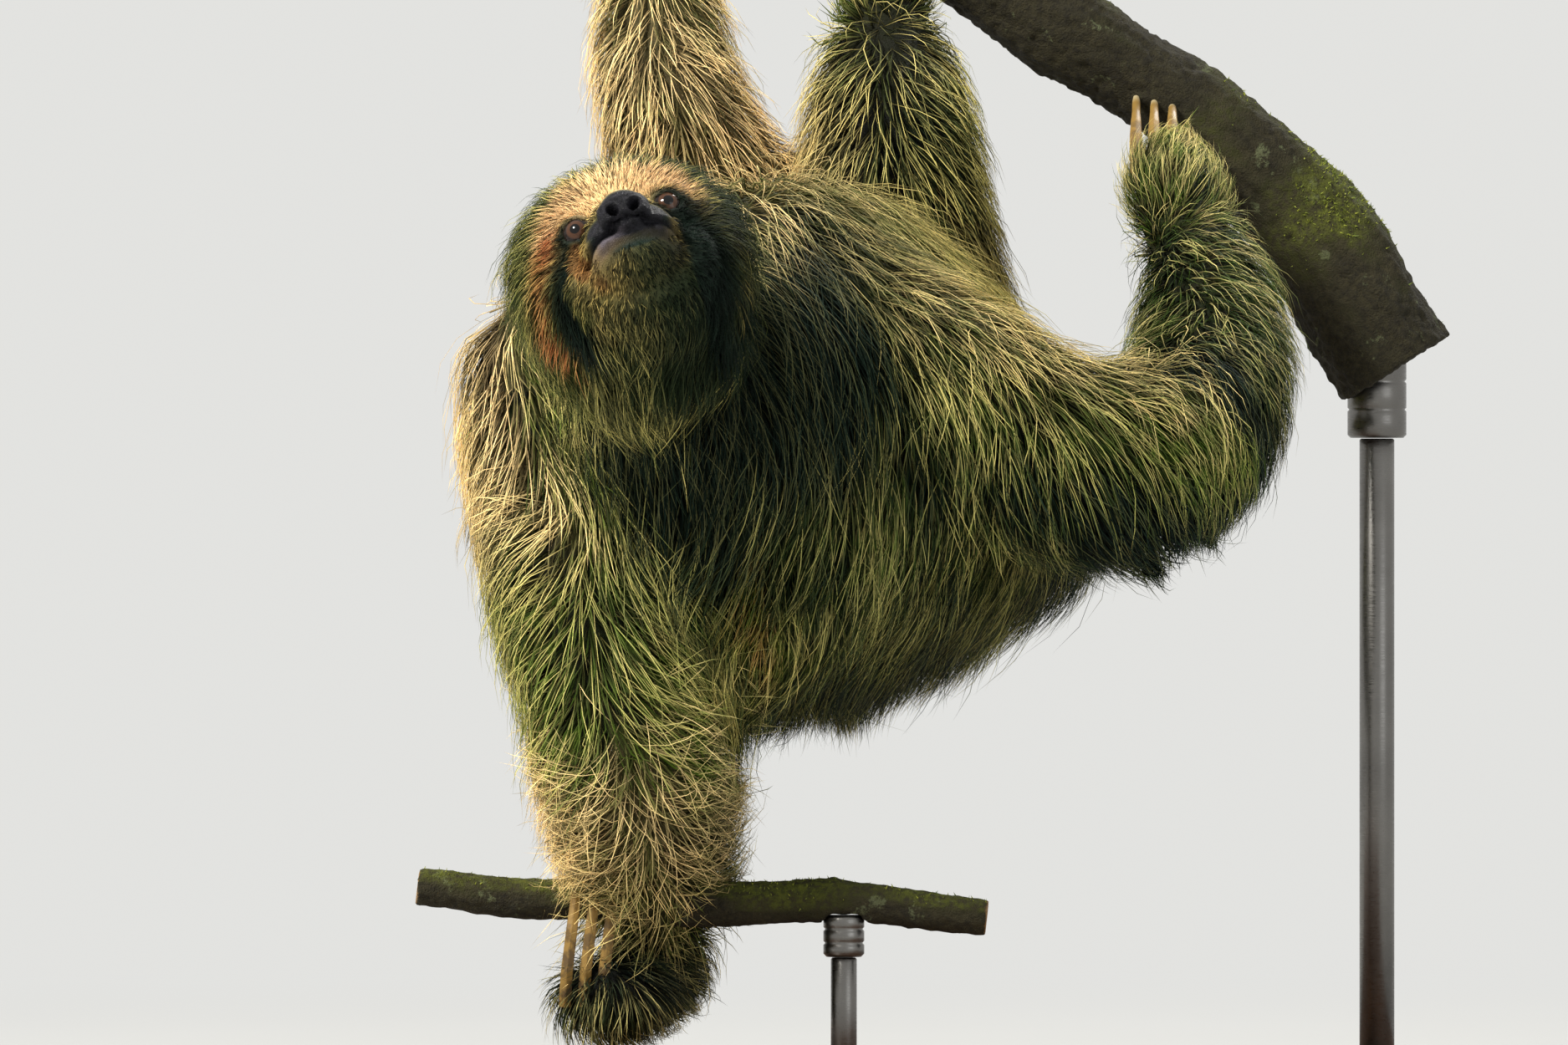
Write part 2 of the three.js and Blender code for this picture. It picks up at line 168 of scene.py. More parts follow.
def move_points(mesh: Mesh, points: Array) -> None:
    """Puts a mesh's vertices in new places."""
    mesh.vertices.foreach_set("co", points.astype(np.float32).ravel())
    mesh.update()


def smooth_faces(mesh: Mesh) -> None:
    """Shades every face of a mesh smoothly."""
    mesh.polygons.foreach_set("use_smooth", np.ones(len(mesh.polygons), bool))


def set_attribute(mesh: Mesh, name: str, values: Array) -> None:
    """Stores one number per vertex under a name."""
    layer = mesh.attributes.new(name, "FLOAT", "POINT")
    layer.data.foreach_set("value", np.ascontiguousarray(values, np.float32))


def new_object(name: str, mesh: Mesh) -> Object:
    """Puts a mesh in the scene, at the origin, under a name."""
    piece = bpy.data.objects.new(name, mesh)
    bpy.context.scene.collection.objects.link(piece)
    return piece


def applied(piece: Object) -> Object:
    """Turns a piece's modifiers into its plain mesh.

    Args:
        piece: An object with modifiers.

    Returns:
        The same object with the result as its mesh.
    """
    graph = bpy.context.evaluated_depsgraph_get()
    mesh = bpy.data.meshes.new_from_object(piece.evaluated_get(graph))
    piece.modifiers.clear()
    piece.data = mesh
    return piece


def node_copy(nodes: list[str], name: str) -> Object:
    """Joins copies of CAD nodes into one welded object.

    Args:
        nodes: Names of the nodes.
        name: The name of the new object.

    Returns:
        The joined copy.
    """
    points, faces, start = [], [], 0
    for node in nodes:
        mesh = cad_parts[node].data
        place = coordinates(mesh)
        corner, _ = triangles(mesh)
        keys = np.round(place / WELD).astype(np.int64)
        _, first, back = np.unique(keys, axis=0, return_index=True, return_inverse=True)
        corner = back.reshape(-1)[corner]
        a, b, c = corner.T
        good = (a != b) & (b != c) & (a != c)
        points.append(place[first])
        faces.append(corner[good] + start)
        start += len(first)
    return new_object(name, new_mesh(name, np.concatenate(points), np.concatenate(faces)))


def remeshed(piece: Object, voxel: float, smooth: int = 0) -> Object:
    """Rebuilds a piece as one even closed surface.

    Args:
        piece: A piece made of closed bodies.
        voxel: The size of the new faces, in metres.
        smooth: How many smoothing steps follow.

    Returns:
        The same object with its new mesh.
    """
    change = piece.modifiers.new("even", "REMESH")
    change.mode = "VOXEL"
    change.voxel_size = voxel
    change.use_smooth_shade = True
    if smooth:
        soften = piece.modifiers.new("soften", "SMOOTH")
        soften.factor = 0.5
        soften.iterations = smooth
    return applied(piece)


def point_normals(points: Array, corner: Array) -> Array:
    """Works out the normal at each vertex.

    Args:
        points: Places of the vertices.
        corner: Vertex numbers of the triangles.

    Returns:
        One unit normal per vertex.
    """
    a, b, c = (points[corner[:, i]] for i in range(3))
    face = np.cross(b - a, c - a)
    total = np.zeros_like(points)
    for i in range(3):
        for axis in range(3):
            total[:, axis] += np.bincount(corner[:, i], face[:, axis], len(points))
    return unit(total)


def swollen(piece: Object, amount: float) -> Object:
    """Moves a piece's surface outwards."""
    points = coordinates(piece.data)
    points += amount * point_normals(points, triangles(piece.data)[0])
    move_points(piece.data, points)
    return piece


def nearest_on(tree: BVHTree, points: Array) -> list[Array]:
    """Finds the nearest places on a surface, the normals there and the numbers of the faces."""
    found = [tree.find_nearest(point)[:3] for point in points.tolist()]
    return [np.array(item) for item in zip(*found)]


def eased(path: Array, rounds: int) -> Array:
    """Evens out paths between their first and last places, in place."""
    for _ in range(rounds):
        path[:, 1:-1] = 0.5 * path[:, 1:-1] + 0.25 * (path[:, :-2] + path[:, 2:])
    return path


def scattered(corners: list[Array], pick: Array, rng: Chance) -> tuple[Array, Array]:
    """Draws one place on each picked triangle.

    Args:
        corners: The places of the first, second and third corners of all triangles.
        pick: The numbers of the triangles to use.
        rng: The source of chance.

    Returns:
        The places, and the share that each corner has in its place.
    """
    a, b, c = (corner[pick] for corner in corners)
    u, v = rng.random((2, len(pick), 1))
    flip = u + v > 1.0
    u, v = np.where(flip, 1.0 - u, u), np.where(flip, 1.0 - v, v)
    return a + u * (b - a) + v * (c - a), np.concatenate([1.0 - u - v, u, v], axis=1)


class Neighbours:
    """Averages values over the edges of a mesh."""

    def __init__(self, mesh: Mesh) -> None:
        """Reads the edges of a mesh.

        Args:
            mesh: Any mesh.
        """
        ends = np.empty(len(mesh.edges) * 2, np.int32)
        mesh.edges.foreach_get("vertices", ends)
        self.ends = ends.reshape(-1, 2)
        self.size = len(mesh.vertices)
        self.degree = np.maximum(np.bincount(ends, minlength=self.size), 1)[:, None]

    def mean(self, values: Array) -> Array:
        """Gives each vertex the mean of its neighbours' values.

        Args:
            values: One row per vertex.

        Returns:
            One row per vertex.
        """
        a, b = self.ends.T
        total = np.zeros_like(values)
        for axis in range(values.shape[1]):
            total[:, axis] += np.bincount(a, values[b, axis], self.size)
            total[:, axis] += np.bincount(b, values[a, axis], self.size)
        return total / self.degree


def sphere(centre: Array, radii: Triple, across: int = 40) -> tuple[Array, Array]:
    """Makes a closed ellipsoid as arrays.

    Args:
        centre: Its middle.
        radii: Its three half sizes.
        across: How many faces go round it.

    Returns:
        The points and the triangles.
    """
    down = across // 2
    rows = math.pi * (np.arange(1, down) / down)
    turns = 2.0 * math.pi * np.arange(across) / across
    ring = np.stack([
        np.outer(np.sin(rows), np.cos(turns)),
        np.outer(np.sin(rows), np.sin(turns)),
        np.outer(np.cos(rows), np.ones(across)),
    ], axis=-1).reshape(-1, 3)
    points = np.concatenate([ring, [[0, 0, 1]], [[0, 0, -1]]]) * np.array(radii) + centre
    faces = []
    top, bottom = len(ring), len(ring) + 1
    for i in range(across):
        j = (i + 1) % across
        faces.append((top, i, j))
        for row in range(down - 2):
            a = row * across
            b = a + across
            faces.append((a + i, b + i, b + j))
            faces.append((a + i, b + j, a + j))
        last = (down - 2) * across
        faces.append((bottom, last + j, last + i))
    return points, np.array(faces)


# ---- the animal's own frame of reference ----
class Region(Enum):
    """The parts of the body that carry one kind of coat."""

    HEAD = "head"
    NECK = "neck"
    TRUNK = "trunk"
    TAIL = "tail"
    UPPER_ARM = "upper_arm"
    FOREARM = "forearm"
    HAND = "hand"
    THIGH = "thigh"
    SHANK = "shank"
    FOOT = "foot"


SIDES = ("left", "right")
CORE_NODES = ["head", "neck", "trunk", "tail"]
LIMB_WORDS = ["upper_arm", "forearm", "hand", "thigh", "shank", "foot"]
FLESH = CORE_NODES + [f"{word}_{side}" for side in SIDES for word in LIMB_WORDS]


def on_node(node: Array, name: str) -> Array:
    """Says which of the numbers stand for a flesh node."""
    return node == FLESH.index(name)


def box_middle(node: str) -> Array:
    """Gives the middle of a CAD node's box."""
    low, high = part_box(node)
    return (np.array(low) + np.array(high)) / 2.0


@dataclass
class HeadFrame:
    """The head's own axes: x to its right, y forward and z up; eye_at is in millimetres."""

    eye_at: Triple = (16.9, 24.4, 1.8)
    gaze_way: Triple = (0.2, 0.96, -0.15)
    ear_height: float = 9.0 * MM
    ear_front: float = -12.0 * MM
    origin: Array = field(init=False)
    axes: Array = field(init=False)
    eye_radius: float = field(init=False)

    def __post_init__(self) -> None:
        """Works out the axes from where the eyes and ears are."""
        eyes = {side: box_middle(f"eye_{side}") for side in SIDES}
        ears = {side: box_middle(f"ear_{side}") for side in SIDES}
        right = unit(eyes["right"] - eyes["left"])
        eye_mid = (eyes["right"] + eyes["left"]) / 2.0
        ear_mid = (ears["right"] + ears["left"]) / 2.0
        reach = eye_mid - ear_mid
        reach = unit(reach - right * (reach @ right))
        rise = np.cross(right, reach)
        _, eye_front, eye_height = np.array(self.eye_at) * MM
        lean = math.atan2(eye_height - self.ear_height, eye_front - self.ear_front)
        forward = math.cos(lean) * reach - math.sin(lean) * rise
        up = np.cross(right, forward)
        self.axes = np.stack([right, forward, up])
        self.origin = eye_mid - forward * eye_front - up * eye_height
        low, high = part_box("eye_right")
        self.eye_radius = float(max(high[i] - low[i] for i in range(3))) / 2.0

    def eye(self, side: float) -> Array:
        """Gives the middle of an eyeball, in the head's own axes and millimetres."""
        return np.array(self.eye_at) * (side, 1.0, 1.0)

    def gaze(self, side: float) -> Array:
        """Gives the way an eye looks, in the head's own axes."""
        return unit(np.array(self.gaze_way) * (side, 1.0, 1.0))

    def to_local(self, points: Array) -> Array:
        """Gives places in the head's own axes, in millimetres."""
        return (points - self.origin) @ self.axes.T / MM

    def to_world(self, points: Array) -> Array:
        """Gives the places of points in the head's own axes, in millimetres."""
        return (points * MM) @ self.axes + self.origin


class Anatomy:
    """Says which part of the body a place belongs to, and where that part lies."""

    SAMPLES = 1600

    def __init__(self) -> None:
        """Samples every flesh node, so that the nearest one can be looked up."""
        rng = np.random.default_rng(SEED)
        self.head = HeadFrame()
        self.tree = KDTree(self.SAMPLES * len(FLESH))
        self.middle: dict[str, Array] = {}
        self.axis: dict[str, Array] = {}
        for number, node in enumerate(FLESH):
            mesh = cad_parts[node].data
            a, b, c = (coordinates(mesh)[ends] for ends in triangles(mesh)[0].T)
            area = np.linalg.norm(np.cross(b - a, c - a), axis=1)
            pick = rng.choice(len(area), self.SAMPLES, p=area / area.sum())
            points, _ = scattered([a, b, c], pick, rng)
            for point in points:
                self.tree.insert(point, number)
            self.middle[node] = points.mean(0)
            _, _, turn = np.linalg.svd(points - points.mean(0), full_matrices=False)
            self.axis[node] = turn[0]
        self.tree.balance()

    def nearest(self, points: Array) -> Array:
        """Finds the number of the flesh node nearest to each place."""
        return np.array([self.tree.find(point)[1] for point in points])


# ---- markings shared by skin and coat ----
@dataclass
class Markings:
    """Where the coat is bare, dark (partly painted shade), rusty, pale (partly painted light) or green; each
    is one number from 0 to 1.
    """

    bare: Array
    dark: Array
    rust: Array
    pale: Array
    algae: Array

    NAMES = ("bare", "dark", "rust", "pale", "algae")

    def store(self, mesh: Mesh) -> None:
        """Writes the markings to a mesh as attributes."""
        for name in self.NAMES:
            set_attribute(mesh, name, getattr(self, name))

    def take(self, rows: Array) -> "Markings":
        """Gives the markings of some of the rows."""
        return Markings(*(getattr(self, name)[rows] for name in self.NAMES))


def mouth_height(across: Array) -> Array:
    """Gives the height of the mouth's line, in millimetres, at a distance from the middle."""
    return -11.6 - 3.0 * (across / 17.5) ** 2


def distance_to_path(points: Array, path: list[tuple[float, ...]]) -> Array:
    """Measures how far points are from a path of straight stretches.

    Args:
        points: The points.
        path: The corners of the path, in the units of the points.

    Returns:
        One distance for each point.
    """
    best = np.full(len(points), np.inf)
    for a, b in zip(np.array(path[:-1]), np.array(path[1:])):
        line = b - a
        t = np.clip((points - a) @ line / (line @ line), 0.0, 1.0)
        best = np.minimum(best, np.linalg.norm(points - a - t[:, None] * line, axis=1))
    return best


def beside_crest(points: Array) -> Array:
    """Gives how far places lie to the right of the crest of hair on the hanging arm."""
    across, height = CREST.T
    return points[:, 0] - np.interp(points[:, 2], height, across)


@dataclass
class Painter:
    """Works out the markings from where a place is on the animal."""

    anatomy: Anatomy

    # in millimetres, in the frame of the head; both are mirrored
    EYE_STRIPE = [(19, 28, -1), (25, 24, -5), (28.5, 16, -11), (29, 5, -21), (25, -2, -29)]
    RUST_BAND = [(28, 20, 6), (34.5, 10, -6), (38, -6, -17), (34, -14, -28)]
    # across and height, in metres
    STAIN = [(-0.078, 0.205), (-0.068, 0.184)]
    # across, height and width of each, in millimetres; the shoulder and breast spots add dark that is partly
    # painted shade, the lit spot adds painted light
    SPOTS = {
        "shoulder": (-56, 311, 50),
        "lit": (-83, 371, 36),
        "breast": (-98, 268, 42),
        "elbow": (120, 250, 22),
        "bend": (84, 252, 42),
    }

    def paint(self, points: Array, normals: Array, node: Array) -> Markings:
        """Gives the markings at some places on the skin.

        Args:
            points: The places.
            normals: The skin's normal at each.
            node: The number of the flesh node at each.

        Returns:
            The markings.
        """
        size = len(points)
        marks = Markings(*(np.zeros(size) for _ in Markings.NAMES))
        patch = ripples(points, 0.05, 3)
        fine = ripples(points, 0.018, 4)
        names = np.array(FLESH)[node]
        self._body(marks, points, normals, names, patch, fine)
        head = (names == "head") | (names == "neck")
        self._head(marks, head, self.anatomy.head.to_local(points), fine)
        for name in Markings.NAMES:
            setattr(marks, name, np.clip(getattr(marks, name), 0.0, 1.0))
        return marks

    def _body(
        self,
        marks: Markings,
        points: Array,
        normals: Array,
        names: Array,
        patch: Array,
        fine: Array,
    ) -> None:
        """Paints trunk and limbs: algae green, paler tops and darker sides, undersides and spots, partly own
        colour and partly painted light and painted shade.

        Args:
            marks: The markings to fill in.
            points: The places.
            normals: The skin's normal at each.
            names: The flesh node at each.
            patch: Broad noise.
            fine: Fine noise.
        """
        # Painted light and shade by the way the skin faces: upward faces are made paler and sides and
        # undersides darker, partly also the coat's own darker hair; the mask of faces turned fully down only
        # adds algae on the trunk.
        under = ramp(0.1, -0.8, normals[:, 2])
        shaded_underside = ramp(0.45, -0.5, normals[:, 2])
        over = ramp(0.3, 0.9, normals[:, 2])
        shaded_flank = ramp(0.55, -0.05, normals[:, 2])
        marks.algae[:] = 0.22 + 0.24 * patch + 0.1 * fine
        marks.dark[:] = 0.12 - 0.2 * patch + 0.12 * fine
        marks.pale[:] = 0.12 + 0.15 * patch + 0.12 * over
        trunk, head = names == "trunk", names == "head"
        shoulder, lit, breast, elbow, bend = (self._spot(points, *spot) for spot in self.SPOTS.values())
        shoulder, lit, breast = shoulder * ~head, lit * ~head, breast * trunk
        # Painted light: the outer side of the hanging arm is made paler, and a painted highlight runs along
        # its crest, partly also paler hair there.
        beside = beside_crest(points)
        crest = hump(beside, 8 * MM) * ramp(0.215, 0.24, points[:, 2])
        outer = ramp(1 * MM, -8 * MM, beside) * ramp(0.2, 0.24, points[:, 2])
        low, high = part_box("forearm_left")
        wrist = hump(points[:, 2] - (0.45 * low[2] + 0.55 * high[2]), 32 * MM)
        inner = ramp(-104 * MM, -88 * MM, points[:, 0])
        # The extra pale on the left forearm near the wrist and on the left thigh and shank is partly painted
        # light.
        for node, dark, pale, algae in (
            ("trunk", 0.72 * shaded_flank, 0.2 * over, 0.28 + 0.25 * under),
            ("neck", 0.95, 0.0, 0.1),
            ("upper_arm_right", -0.04 + 0.9 * shaded_underside, 0.12 + 0.45 * over, 0.2 + 0.7 * shaded_underside),
            ("forearm_right", 0.66 + 0.26 * shaded_underside, 0.35, 0.95 + 0.3 * shaded_underside),
            ("hand_right", 0.2, 0.5, 0.6),
            (
                "upper_arm_left",
                0.12 - 0.25 * outer - 0.3 * crest,
                0.1 + 0.6 * outer + 1.8 * crest,
                0.4 - 0.45 * outer,
            ),
            ("forearm_left", 0.5 * inner - 0.2, 0.6 + 0.6 * wrist, 0.45 - 0.3 * wrist + 0.25 * inner),
            ("hand_left", 0.7, 0.34, 0.4),
            ("thigh_right", 0.2, 0.1, 0.0),
            ("thigh_left", -0.15, 0.6, 0.0),
            ("shank_left", -0.2, 0.75, 0.0),
        ):
            here = names == node
            marks.dark += here * dark
            marks.pale += here * pale
            marks.algae += here * algae
        stain = hump(distance_to_path(points[:, ::2], self.STAIN), 5 * MM) * trunk
        stain *= ramp(0.2, -0.3, normals[:, 1])
        marks.algae += 0.6 * elbow + 0.5 * bend
        # Painted shade on the shoulder and breast spots, partly also darker hair, and painted light on the
        # lit spot.
        marks.dark += 1.2 * shoulder + 0.25 * breast - 0.8 * stain - 0.3 * lit + 0.45 * bend - 0.2 * elbow
        marks.pale += 1.1 * lit + 0.3 * stain
        marks.rust += 0.75 * stain + 0.14 * np.char.startswith(names, "thigh")

    def _spot(self, points: Array, x: float, z: float, width: float) -> Array:
        """Gives a soft round spot, seen from the front, from its middle and width in millimetres."""
        return hump(np.hypot(points[:, 0] - x * MM, points[:, 2] - z * MM), width * MM)

    def _head(self, marks: Markings, head: Array, local: Array, fine: Array) -> None:
        """Paints the face: dark muzzle and eye stripes, cream brow, rust beside them, dark throat, and
        painted shade on its left side.

        Args:
            marks: The markings to change.
            head: Which places are on the head or neck.
            local: Places in the head's axes, in millimetres.
            fine: Fine noise.
        """
        x, y, z = local.T
        side = np.abs(x)
        folded = np.stack([side, y, z], axis=1)
        # Painted light and shade: the head's right side is kept lighter and its left side darker, with a
        # wider eye stripe, darker hood and beard, a patch of painted shade on the left cheek and weaker rust
        # and pale there.
        lit_side = ramp(-12, 12, x)
        aperture = self.anatomy.head.eye(1.0) + 6.0 * self.anatomy.head.gaze(1.0)
        lids = hump(np.linalg.norm(folded - aperture, axis=1), 5.2)
        width = 11.5 - 3.0 * lit_side + 0.1 * (28.0 - y)
        stripe = ramp(0.15, 0.7, hump(distance_to_path(folded, self.EYE_STRIPE), width))
        muzzle = self._within(local, (0.0, 36.0, -10.0), (17.0, 14.0, 11.0))
        throat = ramp(-22, -31, z + 0.12 * (30 - y) + 2.5 * fine) * ramp(-60, -30, y)
        bridge = hump(np.linalg.norm((local - (0.0, 34.0, 7.0)) / (1.3, 1.2, 1.0), axis=1), 9.5)
        hood = ramp(0.82, 1.02, np.hypot(x / 36.0, (z - 4.0) / 33.0)) * ramp(28, 15, y)
        hood = np.maximum(hood, ramp(4, -10, y))
        shaded_head_side = (1.0 - lit_side) * ramp(14, 20, side) * ramp(14, 2, z)
        shaded_head_side = shaded_head_side * ramp(48, 40, side)
        lane = self._within(folded, (20.0, 24.0, -11.0), (5.0, 8.0, 9.0)) * lit_side
        corner = 0.75 * hump(np.linalg.norm(folded - (14.0, 24.0, -21.0), axis=1), 6.5)
        corner = corner * (0.1 + 0.9 * lit_side)
        below = ramp(-10, -18, z + 2 * fine)
        band = hump(distance_to_path(folded, self.RUST_BAND), 6) * (0.3 + 0.7 * lit_side)
        shaded = most((0.86 - 0.1 * lit_side) * below, (0.85 - 0.12 * lit_side) * hood, shaded_head_side)
        dark = most(muzzle, lids, stripe, 0.76 * throat, shaded)
        dark = dark * (1.0 - 0.9 * bridge) * (1.0 - 0.8 * np.maximum(corner, band)) * (1.0 - 0.45 * lane)
        face = 1.0 - hood
        warm = 0.34 * face * ramp(-12, 4, y) * ramp(-10, 26, side)
        beard = 0.32 * below * lit_side * ramp(0, 12, y) * ramp(-44, -26, z)
        rust = most(0.95 * most(band, corner, 0.7 * lane), warm, beard)
        blend = head * ramp(-70, -30, y)
        marks.bare[:] = np.where(head, self._bare_face(local, lids), 0.0)
        marks.dark += blend * (dark - marks.dark)
        marks.rust += blend * (rust * (1.0 - 0.9 * bridge) - marks.rust)
        pale = np.maximum(face * ramp(-4, 8, z), bridge) + 0.12 * hood
        under_lip = z - mouth_height(x)
        lip = ramp(0, -1.5, under_lip) * ramp(-7.5, -1.5, under_lip)
        lip = lip * ramp(20, 10, side) * ramp(22, 30, y)
        # The lighter lip is weaker on the head's left side, as painted shade.
        lip = lip * (0.3 + 0.7 * ramp(-4, 13, x))
        marks.dark -= blend * lip * marks.dark
        marks.pale += blend * (np.maximum(pale * (1.0 - dark) * (1.0 - marks.bare), lip) - marks.pale)
        marks.algae += blend * ((0.5 * hood * (1.0 - throat) + 0.16 * throat) * (1.0 - band) - marks.algae)

    def _bare_face(self, local: Array, lids: Array) -> Array:
        """Works out where the face is bare: nose, lips, chin and the rims of the eyes.

        Args:
            local: Places in the head's axes, in millimetres.
            lids: How near each place is to the rim of an eye.

        Returns:
            Numbers from 0 to 1.
        """
        x, y, z = local.T
        side = np.abs(x)
        under_lip = z - mouth_height(x)
        lips = hump(under_lip, 2.4) * ramp(18, 26, y) * ramp(20, 15, side)
        chin = ramp(1, -1, under_lip) * ramp(-10, -1.5, under_lip)
        chin = chin * ramp(19, 11, side) * ramp(20, 28, y)
        nose = self._within(local, (0.0, 43.0, -6.5), (12.6, 11.0, 9.3))
        muzzle = self._within(local, (0.0, 36.0, -9.0), (16.5, 12.5, 7.5))
        return most(lids, 0.95 * lips, chin, nose, muzzle)

    def _within(self, local: Array, centre: Triple, radii: Triple) -> Array:
        """Gives 1 inside an ellipsoid of the head's own axes, easing to 0 outside it."""
        return ramp(1.12, 0.88, np.linalg.norm((local - centre) / radii, axis=1))


# ---- skin ----
@dataclass(frozen=True)
class Lie:
    """How the coat grows on one region; lengths in millimetres."""

    length: float
    depth: float
    droop: float
    density: float
    width: float
    clump: float = 0.75


COAT: dict[Region, Lie] = {
    Region.HEAD: Lie(20, 9, 0.1, 62, 0.24, 0.6),
    Region.NECK: Lie(38, 14, 0.5, 30, 0.32, 0.5),
    Region.TRUNK: Lie(54, 15, 0.55, 24, 0.36, 0.78),
    Region.TAIL: Lie(26, 6, 0.4, 26, 0.34),
    Region.UPPER_ARM: Lie(42, 11, 0.4, 28, 0.34, 0.75),
    Region.FOREARM: Lie(34, 10, 0.3, 31, 0.32, 0.65),
    Region.HAND: Lie(20, 6, 0.15, 46, 0.27, 0.5),
    Region.THIGH: Lie(38, 12, 0.4, 26, 0.34, 0.72),
    Region.SHANK: Lie(34, 10, 0.35, 28, 0.33, 0.72),
    Region.FOOT: Lie(17, 5, 0.15, 42, 0.26, 0.5),
}


def region_of(node: str) -> Region:
    """Gives the region that a flesh node belongs to."""
    for side in SIDES:
        node = node.removesuffix(f"_{side}")
    return Region(node)


NODE_LIES = [COAT[region_of(node)] for node in FLESH]


def lie_values(name: str, node: Array) -> Array:
    """Looks up one value of the coat for each number of a flesh node."""
    return np.array([getattr(lie, name) for lie in NODE_LIES])[node]


